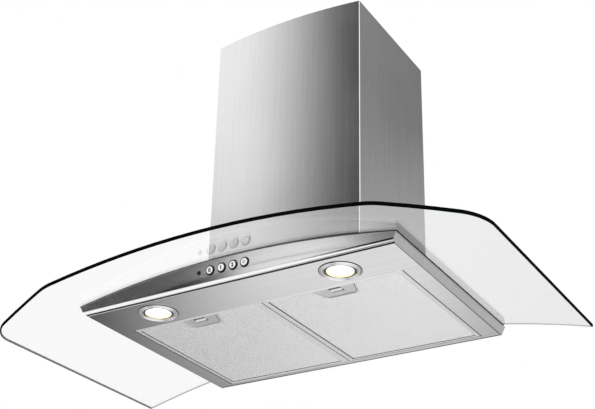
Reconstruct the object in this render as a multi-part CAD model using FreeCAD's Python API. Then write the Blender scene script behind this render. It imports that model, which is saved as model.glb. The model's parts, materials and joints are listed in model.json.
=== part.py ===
import FreeCAD, Part

# Wall hood with a curved glass visor, a flat steel body and a telescopic chimney.
# Millimetres. +X is to the right seen from the front, +Y goes into the wall, +Z is up.
# The pieces are drawn with y = 0 on the wall and z = 0 on the hood's underside. save() then
# moves the origin to the centre of the four wall screw holes.

import math
import os
from FreeCAD import Vector

os.makedirs("parts", exist_ok=True)

# ---------------------------------------------------------------- driving dimensions

# Glass visor: an arched sheet, cut to its outline from above
GLASS_WIDTH = 900.0
GLASS_DEPTH = 494.0
GLASS_THICKNESS = 6.0
GLASS_ARCH_RADIUS = 1688.0       # of the underside
GLASS_WALL_GAP = 8.0
GLASS_STRAIGHT_FRONT = 600.0     # front edge between its two soft bends
GLASS_SLANT_ANGLE = 18.2         # how far the front edge turns back at each bend
GLASS_BEND_RADIUS = 90.0
GLASS_CORNER_RADIUS = 48.0
GLASS_NOTCH_RADIUS = 12.0
GLASS_NOTCH_GAP = 4.0            # between the fan box and the notch in the glass
GASKET_THICKNESS = 1.5
GASKET_WIDTH = 7.0
GLASS_SCREW_FRONT_SPACING = 140.0
GLASS_SCREW_REAR_SPACING = 400.0
GLASS_SCREW_FRONT_OFFSET = 18.0  # in front of the fan box
GLASS_SCREW_REAR_Y = 40.0        # from the wall
GLASS_SCREW_RADIUS = 2.5
GLASS_SCREW_LENGTH = 13.0
GLASS_CAP_RADIUS = 9.0
GLASS_CAP_HEIGHT = 3.5
GLASS_CAP_ROUNDING = 1.2
WASHER_RADIUS = 8.0
WASHER_THICKNESS = 1.0

# Steel body
BODY_WIDTH = 575.7               # across the underside
BODY_CROWN = 40.0                # height of its top at the middle, under the gasket
SIDE_FLARE_ANGLE = 27.3          # the side walls lean outwards
BODY_SHEET = 1.0
FASCIA_FRONT = 411.3             # wall to the fascia's plane, at underside level
FASCIA_LEAN_ANGLE = 6.4          # the top of the fascia leans forwards
FASCIA_SHEET = 1.2
NOSE_RADIUS = 6.5                # rolled lower edge of the fascia
NOSE_SWEEP = 62.0
SEAM_GAP = 1.2                   # open seam between the fascia's nose and the pan
PAN_FRONT_FLANGE = 10.0
SHEET_GAP = 0.1                  # between sheets that lie on each other

# Filters and the opening they close
OPENING_WIDTH = 512.0
OPENING_DEPTH = 301.3
OPENING_REAR_MARGIN = 13.0
OPENING_LIP = 12.0
DIVIDER_WIDTH = 10.0
DIVIDER_TONGUE = 9.0             # the divider's rear end lies on the pan's rear margin
FILTER_GAP = 0.6
FILTER_PIVOT_GAP = 0.3
FILTER_HEIGHT = 12.0
FILTER_BORDER = 6.6
FILTER_TAB_WIDTH = 22.0
FILTER_TAB_LENGTH = 7.0
FILTER_TAB_SPACING = 160.0
MESH_THICKNESS = 0.8
MESH_RECESS = 0.6                # the mesh lies this deep inside the frame's two faces

# Latches
TRAY_FRONT_WIDTH = 78.0
TRAY_REAR_WIDTH = 56.0
TRAY_DEPTH = 33.5
TRAY_RECESS = 2.0                # from the frame's lower face up to the tray's floor
TRAY_SHEET = 0.8
TRAY_CORNER_RADIUS = 7.0
SLOT_WIDTH = 22.0
SLOT_LENGTH = 15.0
SLOT_FRONT_MARGIN = 4.0          # from the tray's front edge to the slot
SLIDER_WIDTH = 28.0
SLIDER_THICKNESS = 1.0
SLIDER_LENGTH = 30.0
SLIDER_GAP = 0.3
SPRING_TAB_WIDTH = 14.0
LIP_WIDTH = 20.0
LIP_THICKNESS = 4.5
LIP_RAKE = 2.5                   # how far the lip's front face leans back from its root to its edge
LIP_SETBACK = 5.5                # from the slot's front end to the lip; less than the bolt's travel behind it
LATCH_TAB_HEIGHT = 3.4
LATCH_TAB_THICKNESS = 1.0
LATCH_SPRING_RADIUS = 1.3
SPRING_WIRE_RADIUS = 0.3
SPRING_RUNS_PER_TURN = 12
LATCH_SPRING_TURNS = 5

# Lamps
LAMP_SPACING = 345.0
LAMP_WALL_DISTANCE = 358.0
LAMP_HOLE_RADIUS = 29.5
LAMP_FLANGE_RADIUS = 34.5
LAMP_FLANGE_THICKNESS = 2.0
LAMP_BARREL_RADIUS = 29.2
LAMP_BARREL_WALL = 1.6
LAMP_BARREL_HEIGHT = 13.0
LAMP_LENS_RADIUS = 24.0
LAMP_LENS_THICKNESS = 2.5
LAMP_LENS_SEAT = 1.5             # ledge of the ring under the lens
REFLECTOR_WALL = 0.8
REFLECTOR_HEIGHT = 15.0
REFLECTOR_NECK_RADIUS = 6.0
REFLECTOR_WAIST_HEIGHT = 0.55    # where the bowl bends, as shares of its height and radius
REFLECTOR_WAIST_RADIUS = 0.78
LAMP_FLANGE_CHAMFER = 1.0
BULB_RADIUS = 4.5
BULB_LENGTH = 11.0
BULB_TIP_ROUNDING = 3.6
BULB_PIN_RADIUS = 0.4
BULB_PIN_LENGTH = 5.0
BULB_PIN_SPACING = 4.0
SOCKET_RADIUS = 7.5
SOCKET_HEIGHT = 8.0
LEAD_RADIUS = 1.6
TRANSFORMER_SIZE = (66.0, 52.0, 20.0)
TRANSFORMER_X = 95.0
TRANSFORMER_Y = 371.0

# Push buttons, measured along the fascia's slope
BUTTON_COUNT = 4
BUTTON_PITCH = 21.6
BUTTON_FIRST_X = -31.1
BUTTON_HEIGHT_Z = 23.3
BUTTON_RADIUS = 6.8
BUTTON_HOLE_GAP = 0.4
BUTTON_PROUD = 2.4
BUTTON_ROUNDING = 0.8
BUTTON_TRAVEL = 2.0
BUTTON_CAP_DEPTH = 5.2           # front face to the back of the cap
BUTTON_STEM_RADIUS = 2.5
BUTTON_STEM_LENGTH = 9.0
BUTTON_GUIDE_GAP = 0.1
BUTTON_SPRING_RADIUS = 3.4
BUTTON_SPRING_TURNS = 4
BUTTON_RING_RADIUS = 8.4         # bezel ring round each button
BUTTON_RING_PROUD = 0.5
LED_RADIUS = 3.6
LED_PROUD = 0.8
LED_ROUNDING = 0.55
LED_DEPTH = 6.0
HOUSING_DEPTH = 7.0              # fascia's inner face to the guide plate
HOUSING_PLATE = 2.0
HOUSING_WALL = 1.5
HOUSING_HEIGHT = 22.0
HOUSING_MARGIN = 13.0            # past the first and last place in the row
BOARD_THICKNESS = 1.6
BOARD_POST = 6.0                 # width of its two end posts
SWITCH_SIZE = 6.0
SWITCH_HEIGHT = 3.2
SWITCH_GAP = 0.3                 # free travel left before a stem meets its switch

# Fan box: the sheet-metal box behind the chimney that carries the fan and hangs on the wall
BOX_WIDTH = 276.0
BOX_DEPTH = 208.0
BOX_TOP_Z = 292.0
BOX_SHEET = 1.2
BOX_FLANGE = 10.0
BODY_REAR_WALL_CUT_Z = 36.0      # where the body's rear wall hands over to the fan box
WALL_SCREW_Z = 175.0
WALL_SCREW_SPACING_X = 200.0
WALL_SCREW_SPACING_Z = 140.0
WALL_SCREW_HOLE_RADIUS = 4.25

# Fan
FAN_CENTRE_Z = 152.0
FAN_WALL_DISTANCE = 104.0
VOLUTE_START_RADIUS = 79.0
VOLUTE_END_RADIUS = 98.0
VOLUTE_START_ANGLE = -15.0       # from straight up, towards the wall
VOLUTE_END_ANGLE = 270.0
VOLUTE_WIDTH = 108.0
VOLUTE_WALL = 2.0
VOLUTE_POINTS = 13
INLET_RADIUS = 61.0
IMPELLER_RADIUS = 71.0
IMPELLER_WIDTH = 90.0
IMPELLER_BAND = 11.0
BLADE_COUNT = 30
BLADE_THICKNESS = 1.2
BLADE_BOW = 1.68
HUB_RADIUS = 12.0
HUB_WIDTH = 14.0
IMPELLER_SHEET = 2.0
SHAFT_RADIUS = 4.0
SHAFT_RUNNING_GAP = 0.05
SHAFT_STUB = 3.0
SHAFT_NUT_RADIUS = 6.5
SHAFT_NUT_WIDTH = 4.0
MOTOR_RADIUS = 42.0
MOTOR_GAP = 5.0                  # between the hub disc and the motor
BRACKET_SHEET = 2.5
BRACKET_ARM_WIDTH = 16.0
BRACKET_ARM_COUNT = 3
BRACKET_REACH = 74.0
BRACKET_HUB_RADIUS = 24.0

# Outlet
OUTLET_DUCT_RADIUS = 59.5
OUTLET_WALL = 1.2
OUTLET_WALL_DISTANCE = 142.0
OUTLET_BASE_MARGIN = 9.0
OUTLET_BASE_SHEET = 2.0
OUTLET_TRANSITION = 34.0
OUTLET_SCREW_SPREAD = 30.0
OUTLET_SPIGOT = 46.0
FLAP_SEAT_WIDTH = 2.0
FLAP_SEAT_THICKNESS = 1.5
FLAP_SEAT_Z = 12.0               # above the start of the spigot
FLAP_THICKNESS = 1.2
FLAP_RIM_GAP = 0.8
FLAP_PIN_RADIUS = 1.5
FLAP_PIN_GAP = 0.05
FLAP_PIN_OFFSET = 4.6            # of each flap's pin from the spigot's middle
FLAP_KNUCKLE_RADIUS = 2.8
FLAP_KNUCKLE_INSET = 6.0

# Mains connection box on the fan box
TERMINAL_SIZE = (84.0, 50.0, 26.0)
TERMINAL_X = 86.0
TERMINAL_Y = 32.0
TERMINAL_WALL = 2.0
GLAND_RADIUS = 8.0
GLAND_BORE_RADIUS = 4.0
GLAND_HOLE_RADIUS = 5.5
GLAND_HEIGHT = 12.0

# Chimney
CHIMNEY_WIDTH = 304.2
CHIMNEY_SIDE_DEPTH = 255.1
CHIMNEY_BOW = 12.8               # how far the front stands out at its middle
CHIMNEY_TOP_Z = 587.6
CHIMNEY_SHEET = 1.0
CHIMNEY_RETURN = 11.5            # rear edges folded inwards along the wall
CHIMNEY_GLASS_GAP = 0.5
FLUE_GAP = 0.9                   # between the lower and the upper chimney
FLUE_TOP_DROP = 4.0              # the upper chimney ends this far below the lower one's top
FLUE_BOTTOM_Z = 92.0
VENT_COUNT = 7
VENT_LENGTH = 90.0
VENT_HEIGHT = 3.5
VENT_PITCH = 11.0
VENT_TOP_MARGIN = 34.0
CLIP_WIDTH = 24.0
CLIP_HEIGHT = 22.0
CLIP_Z = 58.0
CLIP_WALL_DISTANCE = 150.0
CLIP_SHEET = 1.5
CEILING_BRACKET_HEIGHT = 22.0
CEILING_BRACKET_SHEET = 2.0
CEILING_BRACKET_DROP = 10.0      # below the upper chimney's top
CEILING_EAR_DEPTH = 26.0
CEILING_HOLE_SPACING = 180.0
CEILING_HOLE_RADIUS = 2.75
SMALL_SCREW_RADIUS = 1.5
SMALL_HEAD_RADIUS = 3.2
SMALL_HEAD_HEIGHT = 1.4
SMALL_SCREW_LENGTH = 7.0

# ---------------------------------------------------------------- derived values

UNDER_GLASS = BODY_CROWN + GASKET_THICKNESS
ARCH_CENTRE_Z = UNDER_GLASS - GLASS_ARCH_RADIUS
FLARE = math.tan(math.radians(SIDE_FLARE_ANGLE))
LEAN = math.radians(FASCIA_LEAN_ANGLE)
FAR = 2.0 * GLASS_WIDTH          # larger than anything, for cutting tools

OPENING_REAR_Y = -OPENING_REAR_MARGIN
OPENING_FRONT_Y = -OPENING_REAR_MARGIN - OPENING_DEPTH
FILTER_REAR_Y = OPENING_REAR_Y - FILTER_PIVOT_GAP
FILTER_FRONT_Y = OPENING_FRONT_Y + FILTER_GAP
FILTER_BOTTOM_Z = FILTER_PIVOT_GAP
FILTER_TOP_Z = FILTER_BOTTOM_Z + FILTER_HEIGHT
FILTER_INNER_X = DIVIDER_WIDTH / 2 + FILTER_GAP
FILTER_OUTER_X = OPENING_WIDTH / 2 - FILTER_GAP
FILTER_MIDDLE_X = (FILTER_INNER_X + FILTER_OUTER_X) / 2

TRAY_FRONT_Y = FILTER_FRONT_Y + FILTER_BORDER
TRAY_REAR_Y = TRAY_FRONT_Y + TRAY_DEPTH
TRAY_FLOOR_Z = FILTER_BOTTOM_Z + TRAY_RECESS
TRAY_TOP_Z = TRAY_FLOOR_Z + TRAY_SHEET
SLIDER_BOTTOM_Z = TRAY_TOP_Z + SLIDER_GAP
SLIDER_TOP_Z = SLIDER_BOTTOM_Z + SLIDER_THICKNESS
SLIDER_FRONT_Y = FILTER_FRONT_Y
SLIDER_REAR_Y = SLIDER_FRONT_Y + SLIDER_LENGTH
SLOT_FRONT_Y = TRAY_FRONT_Y + SLOT_FRONT_MARGIN
LATCH_STOP_Y = TRAY_REAR_Y - LATCH_TAB_THICKNESS - TRAY_SHEET

BOX_HALF = BOX_WIDTH / 2
FAN_Y = -FAN_WALL_DISTANCE
OUTLET_Y = -OUTLET_WALL_DISTANCE
OUTLET_BASE_Z = BOX_TOP_Z
SPIGOT_BOTTOM_Z = OUTLET_BASE_Z + OUTLET_BASE_SHEET + OUTLET_TRANSITION
FLAP_Z = SPIGOT_BOTTOM_Z + FLAP_SEAT_Z + FLAP_SEAT_THICKNESS + FLAP_KNUCKLE_RADIUS
THROAT_FRONT_Y = FAN_Y - VOLUTE_END_RADIUS
MOTOR_END_X = VOLUTE_WIDTH / 2 + SHEET_GAP

CHIMNEY_HALF = CHIMNEY_WIDTH / 2
FLUE_TOP_Z = CHIMNEY_TOP_Z - FLUE_TOP_DROP
FLUE_INSET = CHIMNEY_SHEET + FLUE_GAP

SIDES = {"left": -1, "right": 1}


# ---------------------------------------------------------------- helpers

def save(name, shape):
    """Write one node, with the origin moved to the middle of the wall screws."""
    placed = shape.copy()
    placed.translate(Vector(0, 0, -WALL_SCREW_Z))
    placed.exportStep(os.path.join("parts", name + ".step"))
    solids = placed.Solids
    if not placed.isValid() or not solids:
        print("CHECK", name, "valid:", placed.isValid(), "solids:", len(solids))


def box(x0, x1, y0, y1, z0, z1):
    """A block between two corners, given in any order."""
    low = Vector(min(x0, x1), min(y0, y1), min(z0, z1))
    return Part.makeBox(abs(x1 - x0), abs(y1 - y0), abs(z1 - z0), low)


def rod(radius, start, direction, length):
    """A round bar from a point along a direction."""
    return Part.makeCylinder(radius, length, Vector(*start), Vector(*direction))


def tube(radius, bore, start, direction, length):
    """A round bar with a bore through it."""
    return rod(radius, start, direction, length).cut(rod(bore, start, direction, length))


def x_prism(points, x0, x1):
    """A polygon of (y, z) points, swept along X."""
    wire = Part.makePolygon([Vector(x0, y, z) for y, z in points + points[:1]])
    return Part.Face(wire).extrude(Vector(x1 - x0, 0, 0))


def ring_z(profile):
    """A closed (radius, z) profile turned round the Z axis."""
    wire = Part.makePolygon([Vector(r, 0, z) for r, z in profile + profile[:1]])
    return Part.Face(wire).revolve(Vector(0, 0, 0), Vector(0, 0, 1), 360)


def spring(radius, turns, length):
    """A coil along +Z from the origin: round wire along short mitred runs."""
    runs = turns * SPRING_RUNS_PER_TURN
    points = []
    for i in range(runs + 1):
        turn = 2 * math.pi * i / SPRING_RUNS_PER_TURN
        points.append(Vector(radius * math.cos(turn), radius * math.sin(turn), length * i / runs))
    circle = Part.makeCircle(SPRING_WIRE_RADIUS, points[0], points[1] - points[0])
    mitred = 1
    return Part.makePolygon(points).makePipeShell([Part.Wire([circle])], True, False, mitred)


def arch_z(x, lift):
    """Height at x of the surface that lies `lift` above the glass's underside."""
    radius = GLASS_ARCH_RADIUS + lift
    return ARCH_CENTRE_Z + math.sqrt(radius * radius - x * x)


def arch_slab(lift_low, lift_high, half_width, y0, y1):
    """The layer between two surfaces that run parallel to the glass."""
    edges = []
    rows = ((lift_low, -half_width, half_width), (lift_high, half_width, -half_width))
    ends = []
    for lift, start, stop in rows:
        first = Vector(start, y0, arch_z(start, lift))
        middle = Vector(0, y0, arch_z(0, lift))
        last = Vector(stop, y0, arch_z(stop, lift))
        edges.append(Part.Arc(first, middle, last).toShape())
        ends.append((first, last))
    edges.insert(1, Part.LineSegment(ends[0][1], ends[1][0]).toShape())
    edges.append(Part.LineSegment(ends[1][1], ends[0][0]).toShape())
    return Part.Face(Part.Wire(edges)).extrude(Vector(0, y1 - y0, 0))


def below_arch(lift):
    """Everything under a surface parallel to the glass."""
    return rod(GLASS_ARCH_RADIUS + lift, (0, -FAR / 2, ARCH_CENTRE_Z), (0, 1, 0), FAR)


def fascia_point(depth, height):
    """(y, z) of a point `depth` behind the fascia's face and `height` up its slope."""
    y = -FASCIA_FRONT + depth * math.cos(LEAN) - height * math.sin(LEAN)
    z = depth * math.sin(LEAN) + height * math.cos(LEAN)
    return y, z


def on_fascia(shape):
    """Move a shape drawn against y = 0 (depth along +Y, slope along +Z) onto the fascia."""
    placed = shape.copy()
    placed.rotate(Vector(0, 0, 0), Vector(1, 0, 0), FASCIA_LEAN_ANGLE)
    placed.translate(Vector(0, -FASCIA_FRONT, 0))
    return placed


def body_block(inset, floor, rear):
    """The body's outer form, drawn in by `inset` at its sides."""
    half = BODY_WIDTH / 2 - inset
    top = BODY_CROWN + FASCIA_FRONT
    points = [(-half - FLARE * floor, floor), (half + FLARE * floor, floor),
              (half + FLARE * top, top), (-half - FLARE * top, top)]
    wire = Part.makePolygon([Vector(x, -FAR / 2, z) for x, z in points + points[:1]])
    return Part.Face(wire).extrude(Vector(0, FAR / 2 - rear, 0))


# ---------------------------------------------------------------- glass

def glass_outline():
    """Seen from above: straight back and sides, and a front edge with two soft bends."""
    half = GLASS_WIDTH / 2
    bend_x = GLASS_STRAIGHT_FRONT / 2
    rear = -GLASS_WALL_GAP
    front = rear - GLASS_DEPTH
    slant = math.tan(math.radians(GLASS_SLANT_ANGLE))
    side = front + (half - bend_x) * slant
    corners = [(-half, rear, 0), (-half, side, GLASS_CORNER_RADIUS), (-bend_x, front, GLASS_BEND_RADIUS),
               (bend_x, front, GLASS_BEND_RADIUS), (half, side, GLASS_CORNER_RADIUS), (half, rear, 0)]
    return rounded_outline(corners)


def rounded_outline(corners):
    """A closed wire in the XY plane through (x, y, radius) corners, each rounded by its radius."""
    edges = []
    count = len(corners)
    cuts = []
    for i, (x, y, radius) in enumerate(corners):
        here = Vector(x, y, 0)
        before = (Vector(*corners[i - 1][:2], 0) - here).normalize()
        after = (Vector(*corners[(i + 1) % count][:2], 0) - here).normalize()
        half_angle = before.getAngle(after) / 2
        reach = radius / math.tan(half_angle)
        bisector = (before + after).normalize()
        middle = here + bisector * (radius / math.sin(half_angle) - radius)
        cuts.append((here + before * reach, middle, here + after * reach))
    for i, (start, middle, stop) in enumerate(cuts):
        if corners[i][2] > 0:
            edges.append(Part.Arc(start, middle, stop).toShape())
        edges.append(Part.LineSegment(stop, cuts[(i + 1) % count][0]).toShape())
    return Part.Wire(edges)


def upright(wire):
    """A tall column over a wire in the XY plane."""
    face = Part.Face(wire)
    face.translate(Vector(0, 0, -FAR / 2))
    return face.extrude(Vector(0, 0, FAR))


def glass_screw_places():
    front_y = -BOX_DEPTH - GLASS_NOTCH_GAP - GLASS_SCREW_FRONT_OFFSET
    places = [(side * GLASS_SCREW_FRONT_SPACING / 2, front_y) for side in SIDES.values()]
    places += [(side * GLASS_SCREW_REAR_SPACING / 2, -GLASS_SCREW_REAR_Y) for side in SIDES.values()]
    return places


def glass_panel():
    sheet = arch_slab(0, GLASS_THICKNESS, GLASS_WIDTH, -FAR / 2, 0)
    sheet = sheet.common(upright(glass_outline()))
    half = BOX_HALF + GLASS_NOTCH_GAP
    notch_front = -BOX_DEPTH - GLASS_NOTCH_GAP
    notch = rounded_outline([(-half, FAR / 2, 0), (-half, notch_front, GLASS_NOTCH_RADIUS),
                             (half, notch_front, GLASS_NOTCH_RADIUS), (half, FAR / 2, 0)])
    sheet = sheet.cut(upright(notch))
    for x, y in glass_screw_places():
        sheet = sheet.cut(rod(GLASS_SCREW_RADIUS + WASHER_THICKNESS, (x, y, 0), (0, 0, 1), FAR))
    return sheet


def glass_fixings():
    """Cap screws through the glass into the body, each on a soft washer."""
    screws = []
    washers = []
    for x, y in glass_screw_places():
        slack = arch_z(max(abs(x) - WASHER_RADIUS, 0), GLASS_THICKNESS) + SHEET_GAP
        washer = tube(WASHER_RADIUS, GLASS_SCREW_RADIUS, (x, y, slack), (0, 0, 1), WASHER_THICKNESS)
        head_z = slack + WASHER_THICKNESS
        shank = rod(GLASS_SCREW_RADIUS, (x, y, head_z - GLASS_SCREW_LENGTH), (0, 0, 1), GLASS_SCREW_LENGTH)
        cap = rod(GLASS_CAP_RADIUS, (x, y, head_z), (0, 0, 1), GLASS_CAP_HEIGHT)
        rim = [e for e in cap.Edges if e.BoundBox.ZMin > head_z + SHEET_GAP]
        cap = cap.makeFillet(GLASS_CAP_ROUNDING, rim)
        washers.append(washer)
        screws.append(cap.fuse(shank))
    return Part.makeCompound(screws), Part.makeCompound(washers)


# ---------------------------------------------------------------- body

def fascia_profile(sheet):
    """Outer and inner line of the fascia in (y, z), from the nose's lower end to the top."""
    centre_height = NOSE_RADIUS * math.sin(math.radians(NOSE_SWEEP))
    lines = []
    for radius in (NOSE_RADIUS, NOSE_RADIUS - sheet):
        arc = []
        for share in (1.0, 0.5, 0.0):
            turn = math.radians(NOSE_SWEEP) * share
            depth = NOSE_RADIUS - radius * math.cos(turn)
            arc.append(fascia_point(depth, centre_height - radius * math.sin(turn)))
        top = fascia_point(NOSE_RADIUS - radius, FASCIA_FRONT)
        lines.append((arc, top))
    return lines


def fascia_section(x, sheet):
    """The fascia's section at x, as a face."""
    (outer, outer_top), (inner, inner_top) = fascia_profile(sheet)

    def at(point):
        return Vector(x, point[0], point[1])

    edges = [Part.Arc(at(outer[0]), at(outer[1]), at(outer[2])).toShape(),
             Part.LineSegment(at(outer[2]), at(outer_top)).toShape(),
             Part.LineSegment(at(outer_top), at(inner_top)).toShape(),
             Part.LineSegment(at(inner_top), at(inner[2])).toShape(),
             Part.Arc(at(inner[2]), at(inner[1]), at(inner[0])).toShape(),
             Part.LineSegment(at(inner[0]), at(outer[0])).toShape()]
    return Part.Face(Part.Wire(edges))


def nose_seam_y():
    """Where the nose ends underneath, and the open seam begins."""
    return fascia_profile(FASCIA_SHEET)[0][0][0][0]


def fascia_clearance():
    """The space in front of the fascia's inner face, a sheet gap deep into the body."""
    half = GLASS_WIDTH / 2
    solid = fascia_section(-half, FASCIA_SHEET + SHEET_GAP).extrude(Vector(2 * half, 0, 0))
    outer, outer_top = fascia_profile(FASCIA_SHEET)[0]
    ahead = x_prism([outer[0], outer[1], outer[2], outer_top, (-FAR / 2, outer_top[1]), (-FAR / 2, -FAR / 2),
                     (outer[0][0], -FAR / 2)], -half, half)
    return solid.fuse(ahead)


def button_places():
    return [BUTTON_FIRST_X + i * BUTTON_PITCH for i in range(BUTTON_COUNT)]


def led_place():
    return BUTTON_FIRST_X - BUTTON_PITCH


def slope_height(z):
    return z / math.cos(LEAN)


def front_fascia():
    """Leaning front plate: arched top, rolled nose, holes for the buttons and the lamp window."""
    half = GLASS_WIDTH / 2
    plate = fascia_section(-half, FASCIA_SHEET).extrude(Vector(2 * half, 0, 0))
    plate = plate.common(body_block(0, -NOSE_RADIUS, 0))
    plate = plate.common(below_arch(-GASKET_THICKNESS - BODY_SHEET))
    height = slope_height(BUTTON_HEIGHT_Z)
    holes = [(x, BUTTON_RADIUS + BUTTON_HOLE_GAP) for x in button_places()]
    holes.append((led_place(), LED_RADIUS))
    for x, radius in holes:
        drill = rod(radius, (x, -NOSE_RADIUS, height), (0, 1, 0), 2 * NOSE_RADIUS)
        plate = plate.cut(on_fascia(drill))
    return plate


def underside_pan():
    """Folded pan: the visible underside with its openings, the two flared sides and the rear wall."""
    side_inset = BODY_SHEET / math.cos(math.radians(SIDE_FLARE_ANGLE))
    pan_front = nose_seam_y() + SEAM_GAP
    outer = body_block(0, 0, 0)
    inner = body_block(side_inset, BODY_SHEET, BODY_SHEET)
    pan = outer.cut(inner)
    pan = pan.common(below_arch(-GASKET_THICKNESS - BODY_SHEET))
    pan = pan.cut(fascia_clearance())
    pan = pan.cut(box(-FAR / 2, FAR / 2, -FAR / 2, pan_front, -BODY_SHEET, BODY_SHEET * 2))
    half = BODY_WIDTH / 2 - side_inset
    pan = pan.fuse(box(-half, half, pan_front, pan_front + BODY_SHEET, 0, PAN_FRONT_FLANGE))
    pan = pan.cut(fascia_clearance())
    opening_half = OPENING_WIDTH / 2
    opening = box(-opening_half, opening_half, OPENING_FRONT_Y, OPENING_REAR_Y, -BODY_SHEET, OPENING_LIP)
    lip_half = opening_half + BODY_SHEET
    lips = box(-lip_half, lip_half, OPENING_FRONT_Y - BODY_SHEET, OPENING_REAR_Y, 0, OPENING_LIP)
    pan = pan.fuse(lips.cut(opening)).cut(opening)
    for side in SIDES.values():
        lamp = (side * LAMP_SPACING / 2, -LAMP_WALL_DISTANCE, -BODY_SHEET)
        pan = pan.cut(rod(LAMP_HOLE_RADIUS, lamp, (0, 0, 1), 3 * BODY_SHEET))
    pan = pan.cut(box(-BOX_HALF, BOX_HALF, -2 * BODY_SHEET, BODY_SHEET, BODY_REAR_WALL_CUT_Z, FAR))
    return pan.removeSplitter()


def body_top():
    """Arched lid under the glass, open where the fan box stands."""
    lid = arch_slab(-GASKET_THICKNESS - BODY_SHEET, -GASKET_THICKNESS, GLASS_WIDTH / 2, -FAR / 2, 0)
    lid = lid.common(body_block(0, 0, 0))
    front_top = fascia_point(0, FASCIA_FRONT)
    front_foot = fascia_point(0, 0)
    keep = x_prism([front_foot, front_top, (0, front_top[1]), (0, front_foot[1])], -GLASS_WIDTH, GLASS_WIDTH)
    lid = lid.common(keep)
    gap = SHEET_GAP
    lid = lid.cut(box(-BOX_HALF - gap, BOX_HALF + gap, -BOX_DEPTH - gap, FAR / 2, 0, FAR))
    for x, y in glass_screw_places():
        lid = lid.cut(rod(GLASS_SCREW_RADIUS, (x, y, 0), (0, 0, 1), FAR))
    return lid


def glass_gasket():
    """Soft black strip round the body's top edge, under the glass."""
    strip = arch_slab(-GASKET_THICKNESS, 0, GLASS_WIDTH / 2, -FAR / 2, -GLASS_WALL_GAP)
    strip = strip.common(body_block(0, 0, 0))
    front_top = fascia_point(0, FASCIA_FRONT)
    front_foot = fascia_point(0, 0)
    outer = x_prism([front_foot, front_top, (0, front_top[1]), (0, front_foot[1])], -GLASS_WIDTH, GLASS_WIDTH)
    inner = body_block(GASKET_WIDTH, 0, GLASS_WALL_GAP + GASKET_WIDTH)
    rear_top = fascia_point(GASKET_WIDTH, FASCIA_FRONT)
    rear_foot = fascia_point(GASKET_WIDTH, 0)
    inside = x_prism([rear_foot, rear_top, (0, rear_top[1]), (0, rear_foot[1])], -GLASS_WIDTH, GLASS_WIDTH)
    strip = strip.common(outer).cut(inner.common(inside))
    half = BOX_HALF + GLASS_NOTCH_GAP
    return strip.cut(box(-half, half, -BOX_DEPTH, FAR / 2, 0, FAR))


def filter_divider():
    """Channel between the two filters. Its rear tongue lies on the pan's rear margin."""
    half = DIVIDER_WIDTH / 2
    bar = box(-half, half, OPENING_FRONT_Y, OPENING_REAR_Y, 0, OPENING_LIP)
    bar = bar.fuse(box(-half, half, OPENING_REAR_Y, OPENING_REAR_Y + DIVIDER_TONGUE, BODY_SHEET, OPENING_LIP))
    inner = half - BODY_SHEET
    return bar.cut(box(-inner, inner, OPENING_FRONT_Y, OPENING_REAR_Y + DIVIDER_TONGUE, 2 * BODY_SHEET, FAR))


# ---------------------------------------------------------------- filters and latches

def tray_outline(grow):
    """The latch tray's shape from below: wide at the front, with two rounded rear corners."""
    front = TRAY_FRONT_WIDTH / 2 + grow
    rear = TRAY_REAR_WIDTH / 2 + grow
    back = TRAY_REAR_Y + grow
    corner = TRAY_CORNER_RADIUS + grow
    start = TRAY_FRONT_Y
    return rounded_outline([(-front, start, 0), (-rear, back, corner), (rear, back, corner), (front, start, 0)])


def layer(wire, z0, z1):
    """A flat plate over a wire in the XY plane."""
    face = Part.Face(wire)
    face.translate(Vector(0, 0, z0))
    return face.extrude(Vector(0, 0, z1 - z0))


def filter_pieces(middle_x):
    """One grease filter: its frame, its two meshes and the latch tray."""
    half = (FILTER_OUTER_X - FILTER_INNER_X) / 2
    inner = half - FILTER_BORDER
    front = FILTER_FRONT_Y
    rear = FILTER_REAR_Y
    frame = box(-half, half, front, rear, FILTER_BOTTOM_Z, FILTER_TOP_Z)
    frame = frame.cut(box(-inner, inner, front + FILTER_BORDER, rear - FILTER_BORDER, -FAR, FAR))
    for side in SIDES.values():
        tab_x = side * FILTER_TAB_SPACING / 2
        tab_low = BODY_SHEET + FILTER_PIVOT_GAP
        frame = frame.fuse(box(tab_x - FILTER_TAB_WIDTH / 2, tab_x + FILTER_TAB_WIDTH / 2, rear,
                               rear + FILTER_TAB_LENGTH, tab_low, tab_low + MESH_THICKNESS))
    slot_half = SLIDER_WIDTH / 2 + SLIDER_GAP
    frame = frame.cut(box(-slot_half, slot_half, front - FILTER_GAP, front + 2 * FILTER_BORDER,
                          SLIDER_BOTTOM_Z - SLIDER_GAP, SLIDER_TOP_Z + SLIDER_GAP))
    low = FILTER_BOTTOM_Z + MESH_RECESS
    high = FILTER_TOP_Z - MESH_RECESS
    mesh_box = (-inner, inner, front + FILTER_BORDER, rear - FILTER_BORDER)
    lower = box(*mesh_box, low, low + MESH_THICKNESS).cut(upright(tray_outline(0)))
    upper = box(*mesh_box, high - MESH_THICKNESS, high)
    mesh = Part.makeCompound([lower, upper])
    tray = layer(tray_outline(0), low, TRAY_TOP_Z)
    tray = tray.cut(layer(tray_outline(-TRAY_SHEET), low, TRAY_FLOOR_Z))
    tray = tray.cut(box(-SLOT_WIDTH / 2, SLOT_WIDTH / 2, SLOT_FRONT_Y, SLOT_FRONT_Y + SLOT_LENGTH, 0, FAR))
    tab_half = SPRING_TAB_WIDTH / 2
    tray = tray.fuse(box(-tab_half, tab_half, LATCH_STOP_Y, LATCH_STOP_Y + LATCH_TAB_THICKNESS, TRAY_FLOOR_Z,
                         SLIDER_TOP_Z + LATCH_TAB_HEIGHT))
    moved = []
    for shape in (frame, mesh, tray):
        shape.translate(Vector(middle_x, 0, 0))
        moved.append(shape)
    return moved


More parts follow.
